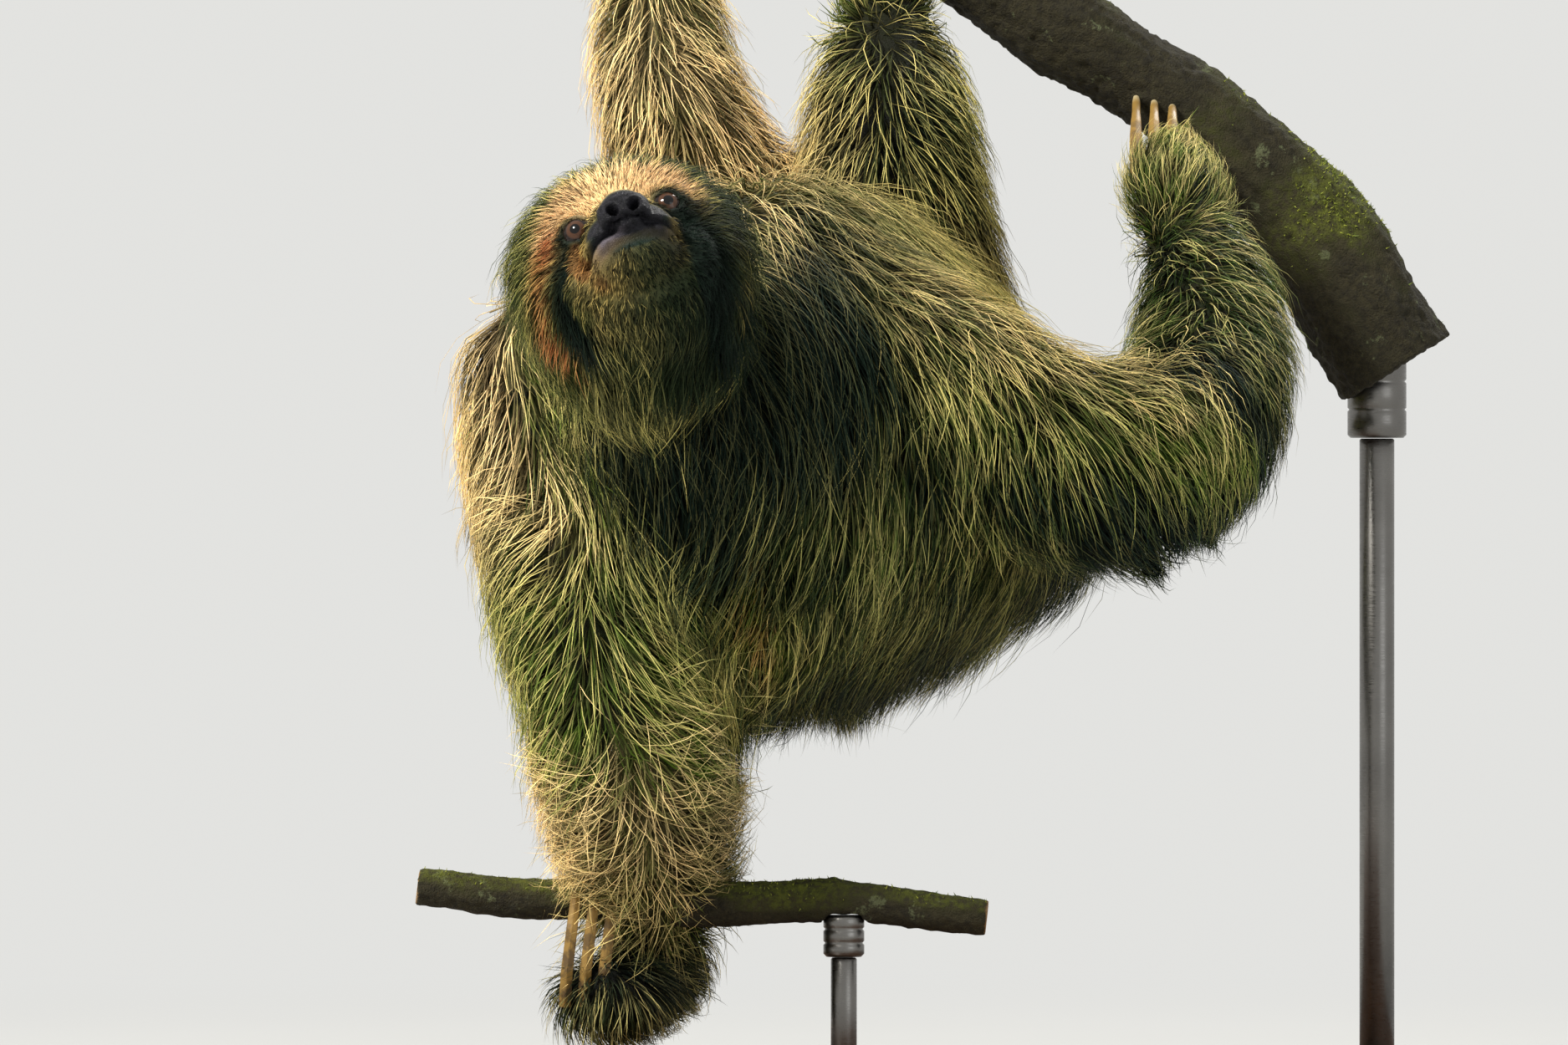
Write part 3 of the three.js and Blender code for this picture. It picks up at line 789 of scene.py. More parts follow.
@dataclass
class HeadSculpt:
    """The bare head, built from overlapping masses and then carved, in the head's own millimetres."""

    anatomy: Anatomy
    voxel: float = 0.9 * MM
    rounds: int = 45
    aperture: tuple[float, float] = (6.5, 4.6)
    squint: float = 0.84
    lid: float = 0.8
    hollow: float = 2.4

    # the middle and the half sizes of each mass, in millimetres in the frame of the head
    MIDDLE = [
        ((0, -9, 3), (39, 36, 36)),
        ((0, -24, -8), (30, 22, 28)),
        ((0, 5, -2), (35.5, 22, 33)),
        ((0, 27, -8.5), (18.0, 15.6, 12.5)),
        ((0, 42.8, -6.0), (10.9, 5.8, 7.9)),
        ((0, 36.0, -1.5), (9.5, 11, 6.5)),
        ((0, 21.5, -18.0), (17.5, 17.6, 9.5)),
        ((0, 2, -20), (28, 26, 19)),
    ]
    PAIRED = [
        ((16, 10.5, -14), (15, 16, 14.5)),
        ((9.0, 27, -11.5), (10.0, 13.6, 6.5)),
        ((15, 19, 10.5), (10, 7, 5)),
        ((16.9, 22.0, 1.8), (9.4, 8.4, 8.8)),
        ((37, -12, 9), (3, 6, 7)),
    ]
    CHEEK_FOLD = [(11, 33, -3), (17, 27, -9), (21, 20, -17)]

    def build(self) -> Object:
        """Makes the carved head as a closed piece in its place.

        Returns:
            The head.
        """
        masses = list(self.MIDDLE)
        for (x, y, z), radii in self.PAIRED:
            masses += [((x, y, z), radii), ((-x, y, z), radii)]
        points, faces, start = [], [], 0
        for centre, radii in masses:
            ball, face = sphere(np.array(centre, float), radii)
            points.append(ball)
            faces.append(face + start)
            start += len(ball)
        place = self.anatomy.head.to_world(np.concatenate(points))
        head = new_object("head_skin", new_mesh("head_skin", place, np.concatenate(faces)))
        remeshed(head, self.voxel, 6)
        self._carve(head)
        return head

    def _carve(self, head: Object) -> None:
        """Presses in the mouth, nostrils and folds, and opens the lids.

        Args:
            head: The head's rough masses, as one surface.
        """
        mesh = head.data
        corner, _ = triangles(mesh)
        world = coordinates(mesh)
        normal = point_normals(world, corner) @ self.anatomy.head.axes.T
        local = self.anatomy.head.to_local(world)
        ease = 0.6 * ramp(22, 12, local[:, 1:2])
        near = Neighbours(mesh)
        for _ in range(self.rounds):
            local += ease * (near.mean(local) - local)
        local += normal * self._relief(local)[:, None]
        local = self._nostrils(local)
        for side in (-1.0, 1.0):
            local = self._eye(local, side)
        move_points(mesh, self.anatomy.head.to_world(local))

    def _relief(self, local: Array) -> Array:
        """Works out how far each place is raised or pressed in, in millimetres.

        Args:
            local: Places in the head's axes, in millimetres.

        Returns:
            One height for each place.
        """
        x, y, z = local.T
        side = np.abs(x)
        line = z - mouth_height(x)
        front = ramp(18, 25, y) * ramp(21, 17.5, side)
        relief = -2.6 * hump(line, 0.9) + 0.9 * hump(line - 2.3, 1.5) + 0.6 * hump(line + 2.8, 1.8)
        relief *= front
        relief -= 0.5 * hump(x, 0.7) * hump(z + 11.5, 3) * ramp(38, 44, y)
        pad_edge = np.sqrt((x / 10.6) ** 2 + ((z + 6.0) / 7.8) ** 2)
        relief -= 0.6 * hump(pad_edge - 1, 0.13) * ramp(36, 42, y)
        relief += 0.12 * np.sin(2.2 * z + 0.06 * x * x) * hump(z - 1, 6) * ramp(24, 30, y)
        relief -= 0.5 * hump(distance_to_path(np.stack([side, y, z], 1), self.CHEEK_FOLD), 1.3)
        return relief

    def _nostrils(self, local: Array) -> Array:
        """Presses the two nostrils into the nose pad.

        Args:
            local: Places in the head's axes, in millimetres.

        Returns:
            The new places.
        """
        for side in (-1.0, 1.0):
            across = (local[:, 0] - side * 4.0) / 2.7
            height = (local[:, 2] + 7.8 - 0.3 * (local[:, 0] * side - 4.0)) / 2.8
            span = np.hypot(across, height)
            front = ramp(38, 42, local[:, 1])
            local[:, 1] += front * (0.7 * hump(span - 1.15, 0.28) - 5.6 * ramp(1, 0.45, span))
        return local

    def _eye(self, local: Array, side: float) -> Array:
        """Wraps the lids round an eyeball and opens them.

        Args:
            local: Places in the head's axes, in millimetres.
            side: 1 for the right eye and -1 for the left.

        Returns:
            The new places.
        """
        ball = self.anatomy.head.eye_radius / MM
        centre = self.anatomy.head.eye(side)
        gaze = self.anatomy.head.gaze(side)
        across = unit(np.cross(gaze, np.array([0.0, 0.0, 1.0])))
        rise = np.cross(across, gaze)
        arm = local - centre
        ahead = arm @ gaze
        a, b = arm @ across, arm @ rise + 0.1
        inner = np.where(local[:, 0] * side < centre[0] * side, np.abs(a), 0.0)
        b = np.where(b > 0, b, 1.15 * b) - 0.2 * inner
        opening = 1.0 if side > 0 else self.squint
        height = opening * self.aperture[1] * (1.0 - 0.06 * np.minimum(inner, 6.0))
        span = np.sqrt((a / (opening * self.aperture[0])) ** 2 + (b / height) ** 2)
        reach = np.linalg.norm(arm, axis=1)
        near = ramp(2.6, 1.3, span) * (ahead > 0)
        wanted = ball + self.lid + 0.35 * hump(span - 1.1, 0.12) - 0.5 * hump(span - 1.55, 0.16)
        moved = centre + arm * ((reach + near * (wanted - reach)) / np.maximum(reach, 0.1))[:, None]
        inside = ramp(1, 0.86, span) * (ahead > 0)
        sunk = centre + arm * ((ball - self.hollow) / np.maximum(reach, 0.1))[:, None]
        return np.where(inside[:, None] > 0, moved + inside[:, None] * (sunk - moved), moved)


@dataclass
class Skin:
    """One closed skin for the whole animal, inside the outline of the coat."""

    anatomy: Anatomy
    painter: Painter
    voxel: float = 3.6 * MM
    swell: float = 0.6 * MM
    steps: int = 10
    belly_depth: float = 17 * MM
    even_rounds: int = 12
    join_rounds: int = 8

    def build(self) -> Object:
        """Makes the skin and its unwrap.

        Returns:
            The skin.
        """
        body = node_copy([node for node in FLESH if node != "head"], "sloth_skin")
        swollen(body, self.swell)
        remeshed(body, self.voxel, 4)
        self._shrink(body)
        remeshed(body, self.voxel, 2)
        self._keep_largest(body)
        head = HeadSculpt(self.anatomy).build()
        union = body.modifiers.new("union", "BOOLEAN")
        union.operation = "UNION"
        union.solver = "MANIFOLD"
        union.object = head
        applied(body)
        bpy.data.objects.remove(head)
        self._soften_join(body)
        self._unwrap(body)
        return body

    def _shrink(self, body: Object) -> None:
        """Draws the surface in by the depth of the coat, a little at a time.

        Args:
            body: The body without its head.
        """
        mesh = body.data
        corner, _ = triangles(mesh)
        near = Neighbours(mesh)
        points = coordinates(mesh)
        normals = point_normals(points, corner)
        node = self.anatomy.nearest(points)
        depth = lie_values("depth", node) * MM + self.swell
        under = ramp(-0.2, -0.95, normals[:, 2]) * on_node(node, "trunk")
        depth += under * self.belly_depth
        depth = depth[:, None]
        for _ in range(self.even_rounds):
            depth = near.mean(depth)
        for _ in range(self.steps):
            points -= point_normals(points, corner) * depth / self.steps
            points += 0.3 * (near.mean(points) - points)
        move_points(mesh, points)

    def _keep_largest(self, body: Object) -> None:
        """Drops any closed pocket that the remesh left inside.

        Args:
            body: The body without its head.
        """
        mesh = body.data
        near = Neighbours(mesh)
        label = np.arange(near.size)
        a, b = near.ends.T
        while True:
            low = np.minimum(label[a], label[b])
            before = label.copy()
            np.minimum.at(label, a, low)
            np.minimum.at(label, b, low)
            label = label[label]
            if np.array_equal(before, label):
                break
        names, counts = np.unique(label, return_counts=True)
        keep = label == names[counts.argmax()]
        corner, _ = triangles(mesh)
        corner = corner[keep[corner].all(axis=1)]
        number = np.cumsum(keep) - 1
        body.data = new_mesh(body.name, coordinates(mesh)[keep], number[corner])

    def _soften_join(self, body: Object) -> None:
        """Smooths the ring where the head's skin meets the neck's.

        Args:
            body: The whole skin.
        """
        mesh = body.data
        near = Neighbours(mesh)
        points = coordinates(mesh)
        local = self.anatomy.head.to_local(points)
        ring = ramp(12, 0, local[:, 1]) * ramp(-62, -50, local[:, 1])
        ring *= ramp(70, 60, np.linalg.norm(local, axis=1))
        for _ in range(self.join_rounds):
            points += 0.5 * ring[:, None] * (near.mean(points) - points)
        smooth_faces(mesh)
        move_points(mesh, points)

    def _unwrap(self, body: Object) -> None:
        """Unwraps the skin for baking.

        Args:
            body: The whole skin.
        """
        bpy.ops.object.select_all(action="DESELECT")
        body.select_set(True)
        bpy.context.view_layer.objects.active = body
        body.data.uv_layers.new(name=BAKE_MAP)
        bpy.ops.object.mode_set(mode="EDIT")
        bpy.ops.mesh.select_all(action="SELECT")
        bpy.ops.uv.smart_project(angle_limit=math.radians(72), island_margin=0.001)
        bpy.ops.object.mode_set(mode="OBJECT")


# ---- how the hair lies ----
def tangent(vectors: Array, normals: Array) -> Array:
    """Takes out the part of each vector that points along its normal."""
    return vectors - normals * np.sum(vectors * normals, axis=1, keepdims=True)


@dataclass
class Flow:
    """The way the hair lies at every place on the skin."""

    anatomy: Anatomy
    skin: Object
    rounds: int = 20
    calm_rounds: int = 6
    points: Array = field(init=False)
    corner: Array = field(init=False)
    normals: Array = field(init=False)
    node: Array = field(init=False)
    lie: Array = field(init=False)
    calm: Array = field(init=False)

    def __post_init__(self) -> None:
        """Combs the skin by the rule of each node, then evens the result out."""
        mesh = self.skin.data
        self.points = coordinates(mesh)
        self.corner, _ = triangles(mesh)
        self.normals = point_normals(self.points, self.corner)
        self.node = self.anatomy.nearest(self.points)
        lie = np.zeros_like(self.points)
        for number, name in enumerate(FLESH):
            rows = self.node == number
            if rows.any():
                lie[rows] = self._comb(name, self.points[rows], self.normals[rows])
        near = Neighbours(mesh)
        lie = unit(tangent(lie, self.normals))
        for _ in range(self.rounds):
            lie = unit(tangent(0.35 * lie + 0.65 * near.mean(lie), self.normals))
        self.lie = lie
        agree = lie
        for _ in range(self.calm_rounds):
            agree = near.mean(agree)
        self.calm = ramp(0.55, 0.95, np.linalg.norm(agree, axis=1))

    def _comb(self, name: str, points: Array, normals: Array) -> Array:
        """Gives the rough direction of the hair on one node.

        Args:
            name: The flesh node.
            points: Places on it.
            normals: The skin's normals there.

        Returns:
            A direction for each place.
        """
        region = region_of(name)
        drape = tangent(np.tile(DOWN, (len(points), 1)), normals)
        if region is Region.HEAD:
            return self._comb_head(points, drape)
        if region is Region.TRUNK:
            return drape + self._from_midline(name, points, normals)
        if region is Region.NECK:
            along = unit(self.anatomy.middle["trunk"] - self.anatomy.middle["neck"])
            return drape + 0.35 * along
        if name == "hand_right":
            return self._from_crease(points) + 0.25 * self._to_claws(name, points, drape)
        if name == "forearm_right":
            return self._from_crease(points) + 0.7 * drape
        if region in (Region.HAND, Region.FOOT):
            return self._to_claws(name, points, drape)
        if region is Region.TAIL:
            return drape + 0.3 * DOWN
        away = self._from_parting(name, points)
        if name == "upper_arm_right":
            elbow = unit(self.anatomy.middle["forearm_right"] - self.anatomy.middle[name])
            return 0.85 * drape + 0.4 * elbow
        if region is Region.FOREARM:
            return 0.9 * away + 0.12 * drape
        if region is Region.UPPER_ARM:
            side_step = np.tanh(beside_crest(points) / (5 * MM))
            return side_step[:, None] * np.array([1.0, 0.0, 0.0]) + 0.45 * drape
        return 0.75 * away + 0.7 * drape

    def _comb_head(self, points: Array, drape: Array) -> Array:
        """Combs the head outward and back from the nose, and down at its back.

        Args:
            points: The places.
            drape: The way down over the skin at each.

        Returns:
            A direction for each place.
        """
        head = self.anatomy.head
        local = head.to_local(points)
        away = (local - (0.0, 44.0, -4.0)) @ head.axes
        hang = 1.3 * ramp(20, -12, local[:, 1])
        return unit(away) + hang[:, None] * drape

    def _from_midline(self, name: str, points: Array, normals: Array) -> Array:
        """Parts the coat along the middle of the upturned belly."""
        side = unit(np.cross(self.anatomy.axis[name], DOWN))
        off = (points - self.anatomy.middle[name]) @ side
        top = ramp(0.2, 0.95, normals[:, 2])
        return (0.9 * top * np.tanh(off / (12 * MM)))[:, None] * side

    def _from_parting(self, name: str, points: Array) -> Array:
        """Parts the coat along the line of a limb that faces the front."""
        front = np.array([0.0, -1.0, 0.0])
        across = unit(np.cross(self.anatomy.axis[name], front))
        off = (points - self.anatomy.middle[name]) @ across
        return np.tanh(off / (6 * MM))[:, None] * across

    def _from_crease(self, points: Array) -> Array:
        """Combs the hair away from the crease of the raised wrist."""
        low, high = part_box("hand_right")
        crease = np.array([0.82 * low[0] + 0.18 * high[0], 0.0, 0.88 * low[2] + 0.12 * high[2]])
        return unit(points * (1.0, 0.0, 1.0) - crease)

    def _to_claws(self, name: str, points: Array, drape: Array) -> Array:
        """Combs a hand or foot towards its claws, or round a fist."""
        claws = np.mean([box_middle(f"claw_{name}_{finger}") for finger in (1, 2, 3)], axis=0)
        if name == "hand_left":
            return unit(points - claws) + 0.3 * drape
        return unit(claws - points) + 0.2 * drape


# ---- coat ----
def face_growth(local: Array) -> Array:
    """Gives how long the hair of the head is, from 0 at the nose to 1 at the nape."""
    reach = np.linalg.norm((local - (0.0, 40.0, -6.0)) / (1.0, 1.25, 1.0), axis=1)
    return ramp(22, 62, reach)


def strand_pattern(rings: int) -> tuple[Array, Array, Array]:
    """Gives the faces of one three-sided tuft that ends in a point.

    Args:
        rings: How many rings of three points it has below its tip.

    Returns:
        The triangles, each point's place round the tuft, and each point's ring.
    """
    faces = [(0, 2, 1)]
    for ring in range(rings - 1):
        for i in range(3):
            a, b = 3 * ring + i, 3 * ring + (i + 1) % 3
            faces += [(a, b, b + 3), (a, b + 3, a + 3)]
    tip = 3 * rings
    faces += [(tip - 3 + i, tip - 3 + (i + 1) % 3, tip) for i in range(3)]
    place = np.append(np.tile([0.0, 0.5, 1.0], rings), 0.5)
    ring = np.append(np.repeat(np.arange(rings), 3), rings)
    return np.array(faces), place, ring


@dataclass
class Strands:
    """Roots of many tufts, with what each needs to grow."""

    root: Array
    normal: Array
    face: Array
    weight: Array
    node: Array
    guard: Array

    def __len__(self) -> int:
        """Counts the tufts."""
        return len(self.root)

    def take(self, rows: Array) -> "Strands":
        """Gives the strands of some of the rows."""
        return Strands(*(getattr(self, item.name)[rows] for item in fields(self)))


@dataclass
class Coat:
    """The hair of the animal, as closed tufts that follow the lie of the coat."""

    flow: Flow
    painter: Painter
    outline: BVHTree
    budget: int = 92_000
    quick_share: float = 0.3
    guard_share: float = 0.52
    stray_share: float = 0.1
    steps: int = 8
    sink: float = 0.6 * MM
    inertia: float = 0.9
    loose_inertia: float = 3.5
    clump_every: int = 9
    lock_every: int = 60
    reach: tuple[float, float] = (14 * MM, 6 * MM)

    def build(self, material: Material) -> list[Object]:
        """Grows the whole coat.

        Args:
            material: The finish of the hair.

        Returns:
            The pieces, one or more for each node.
        """
        rng = np.random.default_rng(SEED + 1)
        strands = self._roots(rng)
        normals = unit(self._at(self.flow.normals, strands))
        bare = self.painter.paint(strands.root, normals, strands.node).bare
        length, width, depth = self._sizes(strands, rng)
        rows = np.flatnonzero(bare * 1.35 < rng.random(len(strands)))
        strands = strands.take(rows)
        normals, length, width, depth = normals[rows], length[rows], width[rows], depth[rows]
        path = self._grow(strands, length, depth, rng)
        path = self._gather(strands, path, rng)
        marks = self.painter.paint(path[:, self.steps // 2], normals, strands.node)
        marks.pale *= 1.0 - marks.bare
        marks.dark[:] = np.maximum(marks.dark, marks.bare)
        marks.bare[:] = 0.0
        unwrap = self._unwrap(strands)
        pieces = []
        head = strands.node == 0
        # Under-fur gets a low rand and guard hairs a high one, so that the colour group paints the under-fur
        # darker as painted shade deep in the coat, besides a random tone per tuft.
        chance = rng.random(len(rows))
        under = np.where(head, 0.14 + 0.46 * chance, 0.42 * chance)
        chance = np.where(strands.guard, 0.36 + 0.64 * chance, under)
        chance = chance * (1.0 - 0.3 * ramp(0.7, 0.86, marks.dark) * head)
        for name, part in self._parts(strands):
            mesh, owner = self._mesh(name, path[part], width[part], strands.take(part), unwrap[part])
            marks.take(part[owner]).store(mesh)
            set_attribute(mesh, "rand", chance[part[owner]])
            piece = new_object(name, mesh)
            mesh.materials.append(material)
            pieces.append(piece)
            LOG.info("%s: %d tufts", name, len(part))
        return pieces

    def _roots(self, rng: Chance) -> Strands:
        """Spreads the roots over the skin by each region's density.

        Args:
            rng: The source of chance.

        Returns:
            The roots, sorted by their node.
        """
        flow = self.flow
        a, b, c = corners = [flow.points[ends] for ends in flow.corner.T]
        cross = np.cross(b - a, c - a)
        area = np.linalg.norm(cross, axis=1) / 2.0
        node = flow.node[flow.corner[:, 0]]
        head = self.painter.anatomy.head.to_local(a)
        face = ramp(-4, 18, head[:, 1]) * on_node(node, "head")
        share = area * lie_values("density", node) * (1.0 + 2.0 * face)
        count = int(self.budget * (1.0))
        pick = rng.choice(len(area), count, p=share / share.sum())
        root, weight = scattered(corners, pick, rng)
        order = np.argsort(node[pick], kind="stable")
        pick, root, weight = pick[order], root[order], weight[order]
        guard = rng.random(count) < self.guard_share
        return Strands(root, unit(cross[pick]), pick, weight, node[pick], guard)

    def _at(self, values: Array, strands: Strands) -> Array:
        """Reads values of the skin's vertices at the roots."""
        corners = self.flow.corner[strands.face]
        return np.einsum("ij,ijk->ik", strands.weight, values[corners])

    def _sizes(self, strands: Strands, rng: Chance) -> tuple[Array, Array, Array]:
        """Works out each tuft's length and width, and the depth of the coat over its root.

        Args:
            strands: The roots.
            rng: The source of chance.

        Returns:
            Length, width and depth for each tuft.
        """
        length = lie_values("length", strands.node) * MM
        width = lie_values("width", strands.node) * MM
        depth = -self._outside(strands.root)[0]
        local = self.painter.anatomy.head.to_local(strands.root)
        head = strands.node == 0
        grown = face_growth(local)
        length = np.where(head, (5.0 + 36.0 * grown ** 1.4) * MM, np.maximum(length, 1.7 * depth))
        width = np.where(head, (0.19 + 0.15 * grown) * MM, width)
        depth = np.clip(1.12 * depth, 1.3 * MM, np.where(head, (2.6 + 18.0 * grown) * MM, 50 * MM))
        length = length * rng.normal(1.0, 0.17, len(length)).clip(0.5, 1.5)
        length = length * np.where(strands.guard, 1.05, 0.85)
        width = width * rng.uniform(0.7, 1.2, len(width)) * np.where(strands.guard, 0.62, 1.3)
        return length, width, depth

    def _outside(self, points: Array) -> tuple[Array, Array]:
        """Measures how far places lie outside the outline of the coat."""
        near, normal, _ = nearest_on(self.outline, points)
        return np.sum((points - near) * normal, axis=1), normal

    def _grow(self, strands: Strands, length: Array, depth: Array, rng: Chance) -> Array:
        """Grows each tuft over the skin, step by step.

        Args:
            strands: The roots.
            length: Each tuft's length.
            depth: The depth of the coat at each root.
            rng: The source of chance.

        Returns:
            The places along each tuft.
        """
        flow = self.flow
        tree = BVHTree.FromPolygons(flow.points.tolist(), flow.corner.tolist())
        lie = unit(flow.lie[flow.corner].mean(axis=1))
        count = len(strands)
        guard = strands.guard
        stray = guard & (rng.random(count) < self.stray_share)
        layer = np.where(guard, rng.uniform(0.72, 1.15, count), rng.uniform(0.22, 0.85, count))
        layer = np.where(stray, 1.5, layer)
        wave = 0.32 * ripples(strands.root, 0.024, 9) + 0.22 * ripples(strands.root, 0.06, 10)
        loose = on_node(strands.node, "forearm_left")
        messy = np.where(loose, 0.8, 0.36)
        messy = messy * np.where(guard, 1.0, 0.6) + 0.8 * (1.0 - flow.calm[flow.corner[strands.face, 0]])
        turn = wave + messy * rng.normal(size=count)
        curl = rng.normal(0.0, 0.3, count) * np.where(loose, 0.4, 1.0)
        inertia = np.where(loose, self.loose_inertia, self.inertia)[:, None]
        spare = np.where(stray, 14.0, 2.0 + 9.0 * rng.random(count) ** 2) * MM
        droop = lie_values("droop", strands.node)
        _, front, height = self.painter.anatomy.head.to_local(strands.root).T
        beard = ramp(-14, -28, height) * ramp(24, 8, front) * (strands.node == 0)
        droop = droop + 0.9 * beard
        aside = np.maximum(strands.normal[:, 2], -strands.normal[:, 0])
        tall = on_node(strands.node, "hand_left") * ramp(-0.2, 0.5, aside)
        tall = tall * ramp(-0.1, -0.115, strands.root[:, 0])
        layer = layer * (1.0 + 1.3 * tall)
        spare = spare + 12 * MM * np.maximum(beard, tall)
        stride = (length / self.steps)[:, None]
        path = np.empty((count, self.steps + 1, 3))
        place = strands.root - self.sink * strands.normal
        path[:, 0] = place
        for step in range(self.steps):
            t = (step + 0.5) / self.steps
            near, normal, face = nearest_on(tree, place)
            height = np.sum((place - near) * normal, axis=1)
            target = depth * layer * min(1.0, 2.2 * t)
            climb = np.clip((target - height) / stride[:, 0], -0.35, 0.75)
            climb = np.where(height < 0.2 * MM, 0.7, climb)
            angle = turn + curl * (t - 0.3)
            ahead = lie[face]
            across = np.cross(normal, ahead)
            way = np.cos(angle)[:, None] * ahead + np.sin(angle)[:, None] * across
            way = unit(way + climb[:, None] * normal + (droop * t)[:, None] * DOWN)
            heading = way if step == 0 else unit(way + inertia * heading)
            place = place + heading * stride
            past, out = self._outside(place)
            place = place - (0.65 * np.maximum(past - spare, 0.0))[:, None] * out
            path[:, step + 1] = place
        return eased(path, 2)

    def _gather(self, strands: Strands, path: Array, rng: Chance) -> Array:
        """Draws neighbouring tufts together towards their tips, in small locks and large ones.

        Args:
            strands: The roots.
            path: The places along each tuft.
            rng: The source of chance.

        Returns:
            The new places along each tuft.
        """
        t = np.linspace(0.0, 1.0, self.steps + 1)[None, :, None]
        strength = lie_values("clump", strands.node) * np.where(strands.guard, 0.5, 0.9)
        strength = np.where(on_node(strands.node, "forearm_left"), 0.2, 1.0) * strength
        strength = strength[:, None, None]
        for every, share, power in ((self.lock_every, 0.3, 1.2), (self.clump_every, 1.0, 1.6)):
            guides = rng.choice(len(strands), len(strands) // every, replace=False)
            tree = KDTree(len(guides))
            for number, guide in enumerate(guides):
                tree.insert(strands.root[guide], number)
            tree.balance()
            found = [tree.find(point) for point in strands.root.tolist()]
            leader = guides[np.array([item[1] for item in found])]
            far = np.array([item[2] for item in found])[:, None, None]
            pull = share * strength * t ** power * ramp(*self.reach, far)
            pull = pull * rng.uniform(0.55, 1.0, len(strands))[:, None, None]
            offset = path - path[:, :1]
            guided = path[leader] + 0.12 * (path[:, :1] - path[leader][:, :1])
            path = path[:, :1] + offset + pull * (guided - path)
        return eased(path, 3)

    def _unwrap(self, strands: Strands) -> Array:
        """Looks up each root's place on the skin's own unwrap.

        Args:
            strands: The roots.

        Returns:
            One place for each root.
        """
        mesh = self.flow.skin.data
        _, loops = triangles(mesh)
        values = np.empty(len(mesh.loops) * 2, np.float32)
        mesh.uv_layers[BAKE_MAP].data.foreach_get("uv", values)
        corner = values.reshape(-1, 2)[loops[strands.face]]
        return np.einsum("ij,ijk->ik", strands.weight, corner)

    def _parts(self, strands: Strands) -> list[tuple[str, Array]]:
        """Splits the tufts into named pieces that each stay under the limit of faces.

        Args:
            strands: The roots.

        Returns:
            Each piece's name and the numbers of its tufts.
        """
        parts = []
        limit = PIECE_LIMIT // MEAN_TUFT_FACES
        for number, name in enumerate(FLESH):
            rows = np.flatnonzero(strands.node == number)
            if not len(rows):
                continue
            pieces = -(-len(rows) // limit)
            along = strands.root[rows] @ self.painter.anatomy.axis[name]
            rows = rows[np.argsort(along, kind="stable")]
            for index, part in enumerate(np.array_split(rows, pieces)):
                tail = f"_{index + 1}" if pieces > 1 else ""
                parts.append((f"coat_{name}{tail}", part))
        return parts

    def _mesh(
        self, name: str, path: Array, width: Array, strands: Strands, unwrap: Array
    ) -> tuple[Mesh, Array]:
        """Makes the closed tufts of one piece.

        Args:
            name: The piece's name.
            path: The places along each tuft.
            width: Each tuft's half width at its root.
            strands: The roots.
            unwrap: Each root's place on the skin's unwrap.

        Returns:
            The mesh, with its bake map and its along attribute, and the tuft that each vertex is on.
        """
        points, corners, spread, along, owner = [], [], [], [], []
        start = 0
        for rings, guard in ((4, True), (2, False)):
            rows = np.flatnonzero(strands.guard == guard)
            faces, place, ring = strand_pattern(rings)
            size = 3 * rings + 1
            points.append(self._tufts(path[rows], width[rows], strands.normal[rows], rings))
            corners.append((faces[None] + start + size * np.arange(len(rows))[:, None, None]).reshape(-1, 3))
            patch = np.stack([place - 0.5, ring / rings - 0.5], axis=1)[faces.ravel()] * TUFT_PATCH
            spread.append(np.clip(unwrap[rows, None] + patch[None], 0.0, 1.0).reshape(-1, 2))
            along.append(np.tile(ring / rings, len(rows)))
            owner.append(np.repeat(rows, size))
            start += size * len(rows)
        mesh = new_mesh(name, np.concatenate(points), np.concatenate(corners))
        set_attribute(mesh, "along", np.concatenate(along))
        layer = mesh.uv_layers.new(name=BAKE_MAP)
        layer.data.foreach_set("uv", np.concatenate(spread).astype(np.float32).ravel())
        return mesh, np.concatenate(owner)

    def _tufts(self, path: Array, width: Array, normal: Array, rings: int) -> Array:
        """Makes the points of tufts that have three-sided rings and a tip.

        Args:
            path: The places along each tuft.
            width: Each tuft's half width at its root.
            normal: The skin's normal at each root.
            rings: How many rings of points each tuft has below its tip.

        Returns:
            The points, tuft by tuft.
        """
        knots = path[:, :: self.steps // rings]
        turn = np.radians([90.0, 210.0, 330.0])
        points = np.empty((len(path), 3 * rings + 1, 3))
        for k in range(rings):
            ahead = unit(knots[:, k + 1] - knots[:, max(k - 1, 0)])
            side = unit(np.cross(ahead, normal))
            rise = np.cross(ahead, side)
            taper = 1.0 - 0.5 * (k / rings) ** 2
            for i in range(3):
                reach = math.cos(turn[i]) * side + 0.6 * math.sin(turn[i]) * rise
                points[:, 3 * k + i] = knots[:, k] + reach * (width * taper)[:, None]
        points[:, -1] = knots[:, -1]
        return points.reshape(-1, 3)


# ---- finishes ----
def shade(red: int, green: int, blue: int) -> Colour:
    """Gives a screen colour, of three numbers up to 255, as linear light."""
    values = [value / 255.0 for value in (red, green, blue)]
    linear = [v / 12.92 if v <= 0.04045 else ((v + 0.055) / 1.055) ** 2.4 for v in values]
    return (*linear, 1.0)


